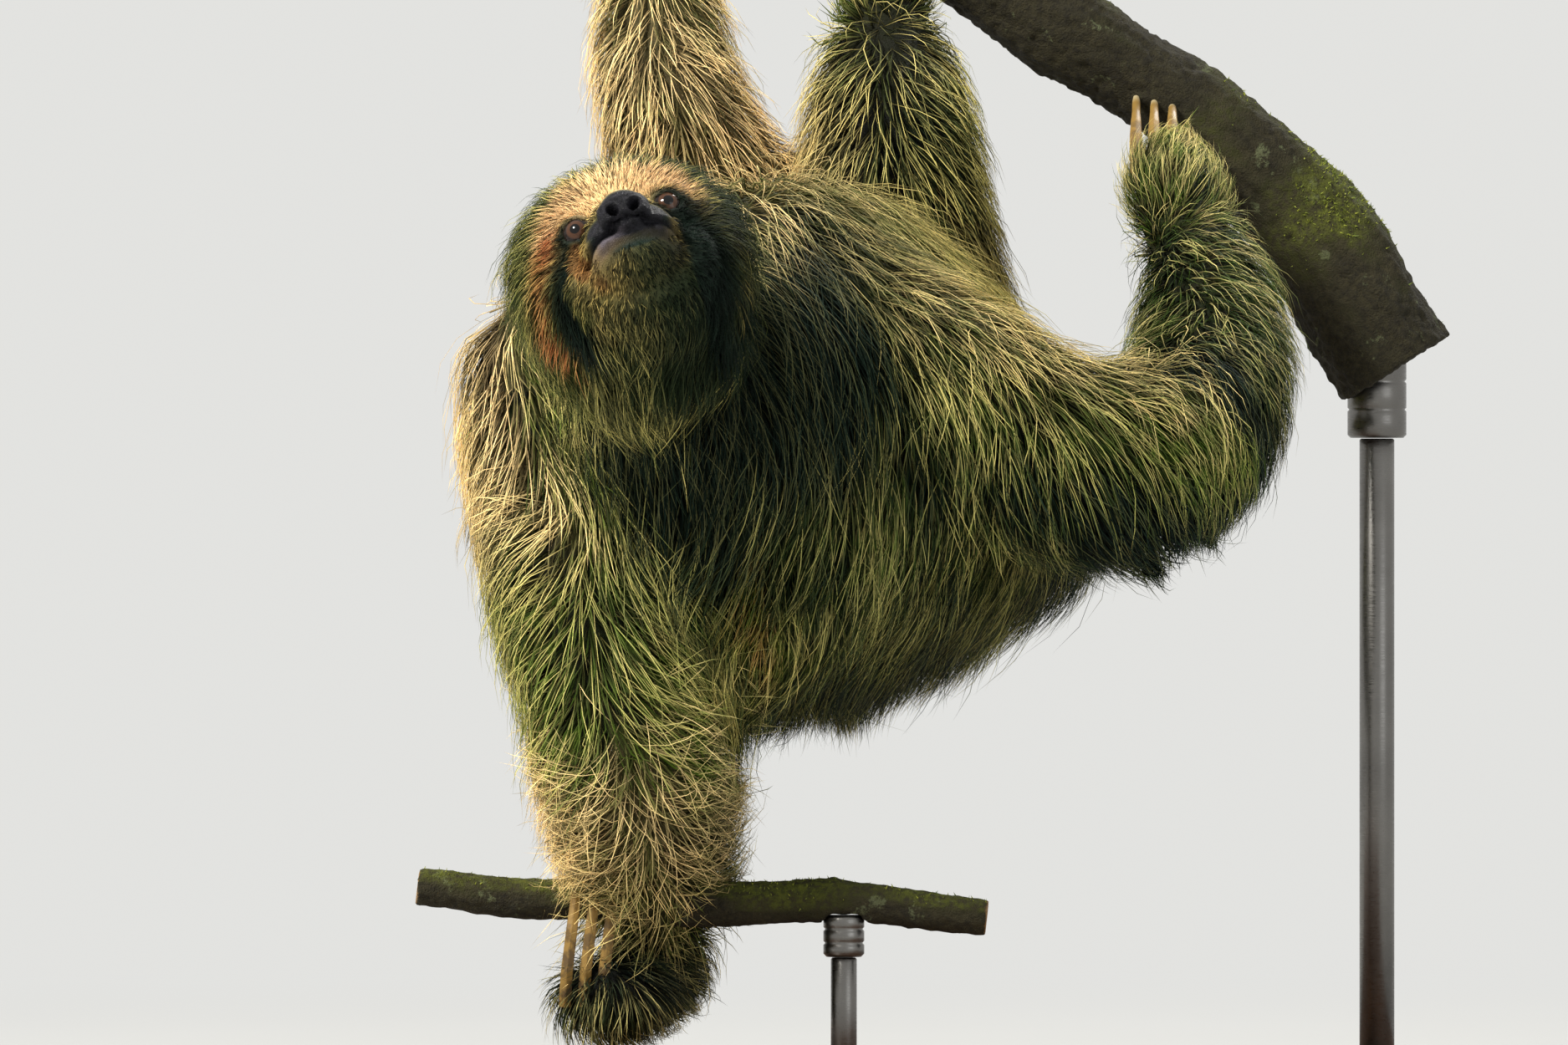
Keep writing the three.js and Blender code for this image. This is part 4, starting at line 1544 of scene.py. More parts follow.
class Wiring:
    """Adds nodes to a tree and joins them."""

    def __init__(self, tree: NodeTree) -> None:
        """Takes the tree to work on."""
        self.tree = tree

    def add(self, kind: str, **settings: object) -> Node:
        """Adds a node.

        Args:
            kind: The type of the node.
            settings: The node's own settings.

        Returns:
            The node.
        """
        node = self.tree.nodes.new(kind)
        for name, value in settings.items():
            setattr(node, name, value)
        return node

    def put(self, socket: NodeSocket, value: Input) -> None:
        """Sets a socket to a value, or joins it to another socket.

        Args:
            socket: The socket.
            value: The value or the other socket.
        """
        if isinstance(value, NodeSocket):
            self.tree.links.new(value, socket)
        else:
            socket.default_value = value

    def fill(self, node: Node, values: dict[str | int, Input]) -> None:
        """Sets or joins inputs of a node, each by its name or number."""
        for key, value in values.items():
            self.put(node.inputs[key], value)

    def math(self, operation: str, *values: Input) -> NodeSocket:
        """Adds a Math node and gives its result."""
        node = self.add("ShaderNodeMath", operation=operation)
        self.fill(node, dict(enumerate(values)))
        return node.outputs[0]

    def times(self, first: Input, second: Input) -> NodeSocket:
        """Multiplies two values."""
        return self.math("MULTIPLY", first, second)

    def span(
        self, value: Input, low: float, high: float, out_low: float = 0.0, out_high: float = 1.0
    ) -> NodeSocket:
        """Maps a range of a value smoothly to another range."""
        node = self.add("ShaderNodeMapRange", interpolation_type="SMOOTHSTEP")
        names = ("Value", "From Min", "From Max", "To Min", "To Max")
        self.fill(node, dict(zip(names, (value, low, high, out_low, out_high))))
        return node.outputs["Result"]

    def mix(self, factor: Input, first: Input, second: Input, blend: str = "MIX") -> NodeSocket:
        """Mixes two colours."""
        node = self.add("ShaderNodeMix", data_type="RGBA", blend_type=blend)
        self.fill(node, {"Factor": factor, 6: first, 7: second})
        return node.outputs[2]

    def noise(self, vector: Input, scale: float, detail: float = 3.0, rough: float = 0.55) -> NodeSocket:
        """Adds a noise pattern and gives its value."""
        node = self.add("ShaderNodeTexNoise")
        self.fill(node, {"Vector": vector, "Scale": scale, "Detail": detail, "Roughness": rough})
        return node.outputs["Fac"]

    def mapped(self, vector: Input, scale: Triple) -> NodeSocket:
        """Stretches a pattern's coordinates."""
        node = self.add("ShaderNodeMapping")
        self.fill(node, {"Vector": vector, "Scale": scale})
        return node.outputs["Vector"]

    def place(self) -> NodeSocket:
        """Gives the object coordinates."""
        return self.add("ShaderNodeTexCoord").outputs["Object"]

    def attribute(self, name: str) -> NodeSocket:
        """Reads a number stored on the mesh."""
        return self.add("ShaderNodeAttribute", attribute_name=name).outputs["Fac"]

    def bump(self, height: Input, strength: float, distance: float) -> NodeSocket:
        """Turns a height into a normal."""
        node = self.add("ShaderNodeBump")
        self.fill(node, {"Strength": strength, "Distance": distance, "Height": height})
        return node.outputs["Normal"]


def new_material(name: str) -> tuple[Material, Wiring, Node]:
    """Makes an empty material."""
    material = bpy.data.materials.new(name)
    material.use_nodes = True
    net = Wiring(material.node_tree)
    return material, net, material.node_tree.nodes["Principled BSDF"]


def new_group(
    name: str, inputs: dict[str, str], outputs: dict[str, str]
) -> tuple[NodeTree, Wiring, Node, Node]:
    """Makes an empty shader group.

    Args:
        name: Its name.
        inputs: Each input's name and kind of socket.
        outputs: Each output's name and kind of socket.

    Returns:
        The group, its wiring, its input node and its output node.
    """
    tree = bpy.data.node_groups.new(name, "ShaderNodeTree")
    for way, sockets in (("INPUT", inputs), ("OUTPUT", outputs)):
        for label, kind in sockets.items():
            tree.interface.new_socket(label, in_out=way, socket_type=f"NodeSocket{kind}")
    net = Wiring(tree)
    return tree, net, net.add("NodeGroupInput"), net.add("NodeGroupOutput")


@dataclass(frozen=True)
class CoatColour:
    """The colours of the coat, shared by the skin and the hair."""

    straw: Colour = shade(208, 192, 112)
    olive: Colour = shade(84, 106, 56)
    shadow: Colour = shade(26, 46, 32)
    dark: Colour = shade(28, 43, 34)
    rust: Colour = shade(178, 98, 56)
    cream: Colour = shade(252, 216, 156)
    algae: Colour = shade(116, 152, 42)
    bare: Colour = shade(15, 15, 18)
    worn: Colour = shade(38, 37, 42)
    lip: Colour = shade(108, 100, 108)

    def group(self) -> NodeTree:
        """Builds the group that turns the markings into a colour.

        Returns:
            The group.
        """
        inputs = {"Place": "Vector", "Along": "Float", "Rand": "Float"}
        inputs |= {name.capitalize(): "Float" for name in Markings.NAMES}
        outputs = {"Colour": "Color", "Rough": "Float"}
        tree, net, source, sink = new_group("coat_colour", inputs, outputs)
        get = source.outputs
        broad = net.noise(get["Place"], 26, 3)
        fine = net.noise(get["Place"], 120, 2)
        chance = net.math("ADD", net.times(broad, 0.9), net.times(get["Rand"], 0.75))
        colour = net.mix(net.span(chance, 0.62, 1.12), self.olive, self.straw)
        # Painted shade: strands with a low Rand, the under-fur, take the shadow colour that stands for the
        # shade deep in the coat.
        low = net.span(get["Rand"], 0.42, 0.2, 0, 0.9)
        colour = net.mix(low, colour, self.shadow)
        pale = net.times(get["Pale"], net.span(get["Rand"], 0.05, 0.5, 0.35, 1))
        colour = net.mix(pale, colour, self.cream)
        rust = net.times(get["Rust"], net.span(get["Rand"], 0, 0.6, 0.7, 1))
        colour = net.mix(rust, colour, self.rust)
        green = net.times(get["Algae"], net.span(fine, 0.3, 0.7, 0.4, 1.1))
        green = net.times(green, net.span(get["Rand"], 0.95, 0.3, 0.5, 1.1))
        colour = net.mix(net.math("MINIMUM", green, 1.0), colour, self.algae)
        full = net.span(get["Rand"], 0.96, 0.65, 0.48, 1)
        full = net.math("MAXIMUM", full, net.span(get["Dark"], 0.75, 1, 0, 0.9))
        dark = net.times(get["Dark"], full)
        colour = net.mix(dark, colour, self.dark)
        # Painted shade and light: darker towards the roots as shade deep in the coat, lighter at the tips
        # partly from bleached tips, and lighter on strands with a high Rand, the guard hairs on top, partly
        # their own random tone.
        base = net.span(get["Pale"], 0.4, 1, 0.12, 0.46)
        rise = net.span(get["Along"], 0, 0.8)
        bright = net.math("ADD", base, net.times(rise, net.math("SUBTRACT", 1.36, base)))
        bright = net.times(bright, net.span(get["Rand"], 0.15, 1, 0.38, 1.6))
        light = net.add("ShaderNodeCombineColor")
        net.fill(light, {0: bright, 1: bright, 2: bright})
        colour = net.mix(1.0, colour, light.outputs[0], "MULTIPLY")
        grain = net.noise(get["Place"], 420, 3)
        hide = net.mix(net.span(grain, 0.3, 0.75), self.bare, self.worn)
        spots = net.span(net.noise(get["Place"], 170, 3), 0.32, 0.6, 0.35, 1)
        flesh = net.times(get["Pale"], net.span(get["Dark"], 0.7, 0.2))
        hide = net.mix(net.times(flesh, spots), hide, self.lip)
        colour = net.mix(get["Bare"], colour, hide)
        net.fill(sink, {"Colour": colour, "Rough": net.span(get["Bare"], 0.3, 0.9, 0.6, 0.46)})
        return tree

    def use(self, net: Wiring, tree: NodeTree) -> Node:
        """Places the group in a material and joins it to the stored markings.

        Args:
            net: The wiring of the material.
            tree: The group.

        Returns:
            The group's node.
        """
        group = net.add("ShaderNodeGroup", node_tree=tree)
        names = ("along", "rand", *Markings.NAMES)
        stored = {name.capitalize(): net.attribute(name) for name in names}
        net.fill(group, {"Place": net.place()} | stored)
        return group


@dataclass(frozen=True)
class HairFinish:
    """Coarse hair with very little gloss."""

    def material(self, tree: NodeTree, colours: CoatColour) -> Material:
        """Builds the finish.

        Args:
            tree: The group of the coat's colours.
            colours: Joins the group to the stored markings.

        Returns:
            The finish.
        """
        material, net, shader = new_material("coat_hair")
        found = colours.use(net, tree).outputs
        net.fill(shader, {
            "Base Color": found["Colour"],
            "Roughness": found["Rough"],
            "Specular IOR Level": 0.08,
        })
        return material


@dataclass(frozen=True)
class SkinFinish:
    """The hide under the coat, leathery where it is bare."""

    def material(self, tree: NodeTree, colours: CoatColour) -> Material:
        """Builds the finish.

        Args:
            tree: The group of the coat's colours.
            colours: Joins the group to the stored markings.

        Returns:
            The finish.
        """
        material, net, shader = new_material("sloth_hide")
        found = colours.use(net, tree).outputs
        place = net.place()
        cells = net.add("ShaderNodeTexVoronoi", feature="DISTANCE_TO_EDGE")
        net.fill(cells, {"Vector": place, "Scale": 1150.0})
        grain = net.span(cells.outputs["Distance"], 0, 0.25)
        height = net.math("ADD", grain, net.noise(place, 900, 4))
        net.fill(shader, {
            "Base Color": found["Colour"],
            "Roughness": found["Rough"],
            "Specular IOR Level": 0.14,
            "Normal": net.bump(height, 0.55, 0.35 * MM),
        })
        return material


@dataclass(frozen=True)
class EyeFinish:
    """A dark brown eye with a round pupil under a wet cornea."""

    pupil: float = 0.27
    iris: float = 0.62

    def material(self) -> Material:
        """Builds the finish from the stored angle off the gaze.

        Returns:
            The finish.
        """
        material, net, shader = new_material("eye_wet")
        angle = net.attribute("gaze")
        streak = net.noise(net.place(), 900, 4)
        iris = net.mix(streak, shade(50, 31, 21), shade(94, 60, 37))
        iris = net.mix(net.span(angle, self.iris - 0.12, self.iris), iris, shade(26, 17, 13))
        colour = net.mix(net.span(angle, self.pupil, self.pupil + 0.03), shade(7, 6, 6), iris)
        white = net.span(angle, self.iris, self.iris + 0.1)
        colour = net.mix(white, colour, shade(34, 25, 20))
        net.fill(shader, {
            "Base Color": colour,
            "Roughness": 0.12,
            "Specular IOR Level": 0.15,
            "Coat Weight": 0.4,
            "Coat Roughness": 0.1,
        })
        return material


@dataclass(frozen=True)
class ClawFinish:
    """Horn: stained dark in streaks, amber, and pale at the tip."""

    def material(self) -> Material:
        """Builds the finish from the stored distance along the claw.

        Returns:
            The finish.
        """
        material, net, shader = new_material("claw_horn")
        along = net.attribute("along")
        line = net.add("ShaderNodeCombineXYZ")
        net.fill(line, {0: net.times(along, 3.0), 1: net.times(net.attribute("round"), 14.0)})
        streak = net.noise(line.outputs[0], 2.6, 4, 0.6)
        blotch = net.noise(net.place(), 210, 3)
        colour = net.mix(streak, shade(104, 76, 30), shade(182, 144, 66))
        stain = net.times(net.span(blotch, 0.44, 0.62), net.span(along, 0.85, 0.3))
        colour = net.mix(net.times(stain, 0.72), colour, shade(56, 38, 20))
        colour = net.mix(net.span(along, 0.16, 0, 0, 0.8), colour, shade(48, 34, 24))
        colour = net.mix(net.span(along, 0.84, 1, 0, 0.75), colour, shade(220, 204, 160))
        net.fill(shader, {
            "Base Color": colour,
            "Roughness": net.span(streak, 0.2, 0.8, 0.42, 0.6),
            "Normal": net.bump(streak, 0.5, 0.3 * MM),
            "Coat Weight": 0.08,
        })
        return material


@dataclass(frozen=True)
class BarkFinish:
    """Rough dark bark with lichen, thin moss and pale sawn ends."""

    def material(self) -> Material:
        """Builds the finish from object coordinates and the stored marks of the perch.

        Returns:
            The finish.
        """
        material, net, shader = new_material("bark_rough")
        place = net.place()
        cut, crack, moss, ring = (net.attribute(name) for name in Perch.MARKS)
        broad = net.noise(place, 34, 4, 0.6)
        fine = net.noise(place, 420, 5, 0.65)
        colour = net.mix(broad, shade(31, 29, 20), shade(72, 66, 44))
        colour = net.mix(net.span(fine, 0.35, 0.7, 0, 0.7), colour, shade(26, 23, 19))
        colour = net.mix(net.times(crack, 0.8), colour, shade(24, 20, 17))
        lichen = net.span(net.noise(place, 90, 5, 0.75), 0.6, 0.68, 0, 0.6)
        colour = net.mix(lichen, colour, shade(112, 118, 84))
        green = net.mix(fine, shade(54, 64, 24), shade(122, 126, 44))
        cover = net.times(moss, net.span(fine, 0.3, 0.62, 0, 0.85))
        colour = net.mix(cover, colour, green)
        grain = net.math("FRACT", net.times(ring, 9.0))
        wood = net.mix(net.span(grain, 0, 1), shade(196, 160, 112), shade(150, 112, 70))
        wood = net.mix(net.times(fine, 0.35), wood, shade(110, 80, 50))
        colour = net.mix(cut, colour, wood)
        height = net.math("ADD", net.times(fine, 0.8), net.noise(place, 1300, 3))
        net.fill(shader, {
            "Base Color": colour,
            "Roughness": 0.86,
            "Specular IOR Level": 0.25,
            "Normal": net.bump(height, 1.0, 1.1 * MM),
        })
        return material


@dataclass(frozen=True)
class MossFinish:
    """Small soft leaves of moss, green to yellow."""

    def material(self) -> Material:
        """Builds the finish.

        Returns:
            The finish.
        """
        material, net, shader = new_material("moss_leaf")
        spot = net.noise(net.place(), 160, 3)
        colour = net.mix(net.span(spot, 0.3, 0.7), shade(78, 96, 26), shade(168, 172, 58))
        net.fill(shader, {"Base Color": colour, "Roughness": net.span(spot, 0.2, 0.8, 0.6, 0.85)})
        return material


@dataclass(frozen=True)
class WoodFinish:
    """Oiled dark hardwood with grain along its length."""

    def material(self) -> Material:
        """Builds the finish.

        Returns:
            The finish.
        """
        material, net, shader = new_material("stand_oiled_wood")
        place = net.place()
        grain = net.noise(net.mapped(place, (1.2, 22.0, 22.0)), 4.0, 6.0, 0.6)
        pores = net.noise(net.mapped(place, (12.0, 260.0, 260.0)), 3.0, 3.0, 0.7)
        colour = net.mix(net.span(grain, 0.3, 0.72), shade(72, 46, 28), shade(134, 92, 58))
        colour = net.mix(net.span(pores, 0.56, 0.7, 0, 0.55), colour, shade(42, 26, 16))
        net.fill(shader, {
            "Base Color": colour,
            "Roughness": net.span(pores, 0.4, 0.7, 0.36, 0.52),
            "Normal": net.bump(pores, 0.25, 0.2 * MM),
            "Coat Weight": 0.2,
        })
        return material


@dataclass(frozen=True)
class SteelFinish:
    """Brushed and darkened steel."""

    def material(self) -> Material:
        """Builds the finish.

        Returns:
            The finish.
        """
        material, net, shader = new_material("stand_dark_steel")
        brushed = net.noise(net.mapped(net.place(), (60.0, 60.0, 900.0)), 4.0, 3.0)
        smudge = net.noise(net.place(), 40, 4)
        colour = net.mix(smudge, shade(92, 90, 88), shade(132, 130, 126))
        net.fill(shader, {
            "Base Color": colour,
            "Roughness": net.span(brushed, 0.3, 0.7, 0.26, 0.42),
            "Metallic": 1.0,
            "Normal": net.bump(brushed, 0.12, 0.1 * MM),
        })
        return material


# ---- eyes and claws ----
@dataclass
class Eye:
    """One eyeball with a low cornea."""

    anatomy: Anatomy
    side: str
    bulge: float = 0.07
    cornea: float = 0.72
    across: int = 64

    def build(self, material: Material) -> Object:
        """Makes the eyeball in its socket.

        Args:
            material: Its finish.

        Returns:
            The eyeball.
        """
        head = self.anatomy.head
        sign = 1.0 if self.side == "right" else -1.0
        gaze = head.gaze(sign) @ head.axes
        side = unit(np.cross(gaze, DOWN))
        axes = np.stack([side, np.cross(gaze, side), gaze])
        ball, faces = sphere(np.zeros(3), (1.0, 1.0, 1.0), self.across)
        angle = np.arccos(np.clip(ball[:, 2], -1.0, 1.0))
        rise = self.bulge * ramp(self.cornea, 0, angle)
        name = f"eye_{self.side}"
        centre = box_middle(name)
        points = centre + head.eye_radius * (ball * (1.0 + rise)[:, None]) @ axes
        piece = new_object(f"eyeball_{self.side}", new_mesh(f"eyeball_{self.side}", points, faces))
        set_attribute(piece.data, "gaze", angle)
        piece.data.materials.append(material)
        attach(piece, "root")
        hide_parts(name)
        LOG.info("%s: %d faces", piece.name, len(piece.data.polygons))
        return piece


@dataclass
class Claw:
    """One long hooked claw of smooth horn."""

    node: str
    voxel: float = 0.42 * MM
    slim: float = 0.5 * MM
    blunt: float = 0.7 * MM

    def build(self, material: Material) -> Object:
        """Makes the claw from its node, with its distance from the root stored along it.

        Args:
            material: Its finish.

        Returns:
            The claw.
        """
        piece = remeshed(node_copy([self.node], f"horn_{self.node}"), self.voxel, 3)
        if "hand_left" in self.node:
            swollen(piece, -self.slim)
        mesh = piece.data
        points = coordinates(mesh)
        base = box_middle(self.node.removeprefix("claw_").rsplit("_", 1)[0])
        along = self._distance(mesh, points, int(np.argmin(np.linalg.norm(points - base, axis=1))))
        along = along / along.max()
        set_attribute(mesh, "along", along)
        normals = point_normals(points, triangles(mesh)[0])
        blunt = self.blunt * ramp(0.7, 0.96, along)
        move_points(mesh, points + blunt[:, None] * normals)
        set_attribute(mesh, "round", np.arctan2(normals[:, 0], normals[:, 1] + 0.3 * normals[:, 2]) / math.pi)
        smooth_faces(mesh)
        mesh.materials.clear()
        mesh.materials.append(material)
        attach(piece, "root")
        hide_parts(self.node)
        LOG.info("%s: %d faces", piece.name, len(mesh.polygons))
        return piece

    def _distance(self, mesh: Mesh, points: Array, start: int) -> Array:
        """Measures how far each vertex is from one of them over the surface.

        Args:
            mesh: The claw's mesh.
            points: The places.
            start: The number of the vertex to measure from.

        Returns:
            One distance for each vertex.
        """
        near = Neighbours(mesh)
        a, b = near.ends.T
        length = np.linalg.norm(points[a] - points[b], axis=1)
        far = np.full(len(points), np.inf)
        far[start] = 0.0
        while True:
            before = far.copy()
            np.minimum.at(far, a, before[b] + length)
            np.minimum.at(far, b, before[a] + length)
            if np.array_equal(before, far):
                return far


# ---- perches ----
@dataclass
class Perch:
    """A short cut length of branch, with furrowed bark and sawn ends."""

    node: str
    voxel: float
    furrow: float
    slices: int = 24

    MARKS = ("cut", "crack", "moss", "ring")

    def build(self, material: Material) -> Object:
        """Makes the branch from its node.

        Args:
            material: Its finish.

        Returns:
            The branch.
        """
        piece = remeshed(node_copy([self.node], f"branch_{self.node}"), self.voxel, 3)
        mesh = piece.data
        points = coordinates(mesh)
        corner, _ = triangles(mesh)
        normals = point_normals(points, corner)
        middle = points.mean(0)
        _, _, turn = np.linalg.svd(points - middle, full_matrices=False)
        along = (points - middle) @ turn[0]
        radius = np.linalg.norm(points - self._centre_line(points, along), axis=1)
        end = np.abs(normals @ turn[0]) * ramp(0.8, 0.93, np.abs(along) / np.abs(along).max())
        cut = ramp(0.72, 0.9, end)
        stretched = points @ turn.T * np.array([0.42, 1.0, 1.0]) / (9 * MM)
        crack = np.array([noise.ridged_multi_fractal(Vector(p), 0.9, 2.1, 4, 0.9, 2.0) for p in stretched])
        crack = ramp(0.9, 2.4, crack)
        lump = np.array([noise.noise(Vector(p)) for p in points / (26 * MM)])
        rough = np.array([noise.noise(Vector(p)) for p in points / (3.2 * MM)])
        shift = self.furrow * (0.7 * lump + 0.5 * rough - 1.2 * crack) * (1.0 - cut)
        points += normals * shift[:, None]
        smooth_faces(mesh)
        move_points(mesh, points)
        wet = ripples(points, 0.06, 21) + 0.5 * ripples(points, 0.02, 22)
        moss = ramp(0.15, 1, 0.6 * normals[:, 2] + 0.6 * wet) * (1.0 - cut)
        for name, values in zip(self.MARKS, (cut, crack, moss, radius / (25 * MM))):
            set_attribute(mesh, name, values)
        mesh.materials.clear()
        mesh.materials.append(material)
        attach(piece, "root")
        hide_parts(self.node)
        LOG.info("%s: %d faces", piece.name, len(mesh.polygons))
        return piece

    def _centre_line(self, points: Array, along: Array) -> Array:
        """Works out the middle of the branch beside each point.

        Args:
            points: The places.
            along: How far along the branch each is.

        Returns:
            One place for each point.
        """
        size = self.slices
        slots = np.clip(((along - along.min()) / np.ptp(along) * size).astype(int), 0, size - 1)
        count = np.maximum(np.bincount(slots, minlength=size), 1)
        middle = np.stack([np.bincount(slots, points[:, i], size) / count for i in range(3)], axis=1)
        where = np.array([along[slots == i].mean() if (slots == i).any() else 0.0 for i in range(size)])
        return np.stack([np.interp(along, where, middle[:, i]) for i in range(3)], axis=1)


@dataclass
class Moss:
    """Tufts of moss leaves spread over a perch by geometry nodes."""

    perch: Object
    name: str
    density: float = 330_000.0
    height: float = 1.8 * MM
    seed: int = 31

    def build(self, material: Material) -> Object:
        """Makes the moss as one plain mesh.

        Args:
            material: The finish of the leaves.

        Returns:
            The moss.
        """
        piece = new_object(self.name, self.perch.data.copy())
        spread = piece.modifiers.new("moss", "NODES")
        tree = self._tree(material)
        spread.node_group = tree
        values = {"Density": self.density, "Height": self.height, "Seed": self.seed}
        for item in tree.interface.items_tree:
            if item.item_type == "SOCKET" and item.in_out == "INPUT" and item.name in values:
                spread[item.identifier] = values[item.name]
        applied(piece)
        for attribute in Perch.MARKS:
            if attribute in piece.data.attributes:
                piece.data.attributes.remove(piece.data.attributes[attribute])
        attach(piece, "root")
        LOG.info("%s: %d faces", piece.name, len(piece.data.polygons))
        return piece

    def _tree(self, material: Material) -> NodeTree:
        """Builds the node tree: points where the moss mark is high, one small leaf on each.

        Args:
            material: The finish of the leaves.

        Returns:
            The tree.
        """
        tree = bpy.data.node_groups.new(f"{self.name}_tree", "GeometryNodeTree")
        tree.interface.new_socket("Geometry", in_out="INPUT", socket_type="NodeSocketGeometry")
        for label, kind in (("Density", "Float"), ("Height", "Float"), ("Seed", "Int")):
            tree.interface.new_socket(label, in_out="INPUT", socket_type=f"NodeSocket{kind}")
        tree.interface.new_socket("Geometry", in_out="OUTPUT", socket_type="NodeSocketGeometry")
        net = Wiring(tree)
        source, sink = net.add("NodeGroupInput"), net.add("NodeGroupOutput")
        given = source.outputs
        mark = net.add("GeometryNodeInputNamedAttribute", data_type="FLOAT")
        net.fill(mark, {"Name": "moss"})
        share = net.times(net.math("POWER", mark.outputs["Attribute"], 2.5), given["Density"])
        points = net.add("GeometryNodeDistributePointsOnFaces", distribute_method="RANDOM")
        net.fill(points, {"Mesh": given["Geometry"], "Density": share, "Seed": given["Seed"]})
        leaf = net.add("GeometryNodeMeshCone")
        net.fill(leaf, {"Vertices": 4, "Side Segments": 1, "Radius Top": 0.0, "Depth": given["Height"]})
        net.fill(leaf, {"Radius Bottom": net.times(given["Height"], 0.17)})
        lean = net.add("FunctionNodeRandomValue", data_type="FLOAT_VECTOR")
        net.fill(lean, {0: (-0.75, -0.75, 0.0), 1: (0.75, 0.75, 6.28), "Seed": given["Seed"]})
        euler = net.add("FunctionNodeEulerToRotation")
        net.fill(euler, {0: lean.outputs[0]})
        tilt = net.add("FunctionNodeRotateRotation", rotation_space="LOCAL")
        net.fill(tilt, {0: points.outputs["Rotation"], 1: euler.outputs[0]})
        size = net.add("FunctionNodeRandomValue", data_type="FLOAT")
        net.fill(size, {2: 0.45, 3: 1.25, "Seed": given["Seed"]})
        copies = net.add("GeometryNodeInstanceOnPoints")
        net.fill(copies, {
            "Points": points.outputs["Points"],
            "Instance": leaf.outputs["Mesh"],
            "Rotation": tilt.outputs[0],
            "Scale": size.outputs[1],
        })
        real = net.add("GeometryNodeRealizeInstances")
        net.fill(real, {"Geometry": copies.outputs["Instances"]})
        dress = net.add("GeometryNodeSetMaterial")
        net.fill(dress, {"Geometry": real.outputs["Geometry"], "Material": material})
        net.fill(sink, {"Geometry": dress.outputs["Geometry"]})
        return tree


# ---- stand ----
@dataclass
class Stand:
    """The display stand: a rounded base, two rods and their collars."""

    corner: float = 70 * MM
    edge: float = 3 * MM
    edge_steps: int = 5
    corner_steps: int = 16
    around: int = 64
    groove_depth: float = 0.7 * MM
    groove_half: float = 0.8 * MM

    def build(self, wood: Material, steel: Material) -> None:
        """Makes every part of the stand in the place of its node."""
        self._base(wood)
        for end in ("main", "low"):
            self._turned(f"stand_rod_{end}", steel, ease=0.6 * MM, grooves=0)
            self._turned(f"stand_collar_{end}", steel, ease=1.2 * MM, grooves=2)

    def _dress(self, piece: Object, node: str, material: Material) -> None:
        """Gives a piece its finish and its place in the model.

        Args:
            piece: The piece.
            node: The CAD node that it stands for.
            material: Its finish.
        """
        piece.data.materials.append(material)
        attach(piece, "root")
        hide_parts(node)
        LOG.info("%s: %d faces", piece.name, len(piece.data.polygons))

    def _base(self, wood: Material) -> None:
        """Makes the base as a slab with round corners and eased edges.

        Args:
            wood: Its finish.
        """
        low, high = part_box("stand_base")
        half_x, half_y = (high.x - low.x) / 2.0, (high.y - low.y) / 2.0
        mid = (high + low) / 2.0
        rows = []
        for inset, z in self._edge_profile(low.z, high.z):
            ring = []
            for quarter, (sx, sy) in enumerate(((1, 1), (-1, 1), (-1, -1), (1, -1))):
                for step in range(self.corner_steps + 1):
                    angle = math.pi / 2.0 * (quarter + step / self.corner_steps)
                    reach = self.corner - inset
                    x = mid.x + sx * (half_x - self.corner) + reach * math.cos(angle)
                    y = mid.y + sy * (half_y - self.corner) + reach * math.sin(angle)
                    ring.append((x, y, z))
            rows.append(ring)
        piece = self._stacked("base_slab", rows)
        self._dress(piece, "stand_base", wood)

    def _edge_profile(self, low: float, high: float) -> list[tuple[float, float]]:
        """Draws the side of the base, with eased edges.

        Args:
            low: The height of its underside.
            high: The height of its top.

        Returns:
            Inset and height at each step.
        """
        turns = [math.pi / 2.0 * i / self.edge_steps for i in range(self.edge_steps + 1)]
        ease = self.edge
        bottom = [(ease * (1.0 - math.sin(t)), low + ease * (1.0 - math.cos(t))) for t in turns]
        top = [(ease * (1.0 - math.cos(t)), high - ease * (1.0 - math.sin(t))) for t in turns]
        return bottom + top

    def _turned(self, node: str, steel: Material, ease: float, grooves: int) -> None:
        """Makes a round upright part, with eased ends and turned grooves.

        Args:
            node: Its CAD node.
            steel: Its finish.
            ease: How far its ends are eased.
            grooves: How many grooves it has.
        """
        low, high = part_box(node)
        mid = (low + high) / 2.0
        radius = (high.x - low.x) / 2.0
        profile = [(radius - ease, low.z), (radius, low.z + ease)]
        for groove in range(grooves):
            z = low.z + (high.z - low.z) * (groove + 1) / (grooves + 1)
            low_lip, high_lip = (radius, z - self.groove_half), (radius, z + self.groove_half)
            profile += [low_lip, (radius - self.groove_depth, z), high_lip]
        profile += [(radius, high.z - ease), (radius - ease, high.z)]
        rows = []
        for reach, z in profile:
            turn = [2.0 * math.pi * i / self.around for i in range(self.around)]
            rows.append([(mid.x + reach * math.cos(a), mid.y + reach * math.sin(a), z) for a in turn])
        piece = self._stacked(node.replace("stand_", "turned_"), rows)
        self._dress(piece, node, steel)

    def _stacked(self, name: str, rows: list[list[Triple]]) -> Object:
        """Joins rings that lie over each other into a closed body.

        Args:
            name: The name of the piece.
            rows: The points of each ring, from the lowest.

        Returns:
            The piece.
        """
        size = len(rows[0])
        mesh = bpy.data.meshes.new(name)
        faces: list[tuple[int, ...]] = [tuple(reversed(range(size)))]
        for level in range(len(rows) - 1):
            for i in range(size):
                a, b = level * size + i, level * size + (i + 1) % size
                faces.append((a, b, b + size, a + size))
        faces.append(tuple(range((len(rows) - 1) * size, len(rows) * size)))
        mesh.from_pydata([point for row in rows for point in row], [], faces)
        smooth = np.ones(len(faces), bool)
        smooth[[0, -1]] = False
        mesh.polygons.foreach_set("use_smooth", smooth)
        mesh.update()
        return new_object(name, mesh)


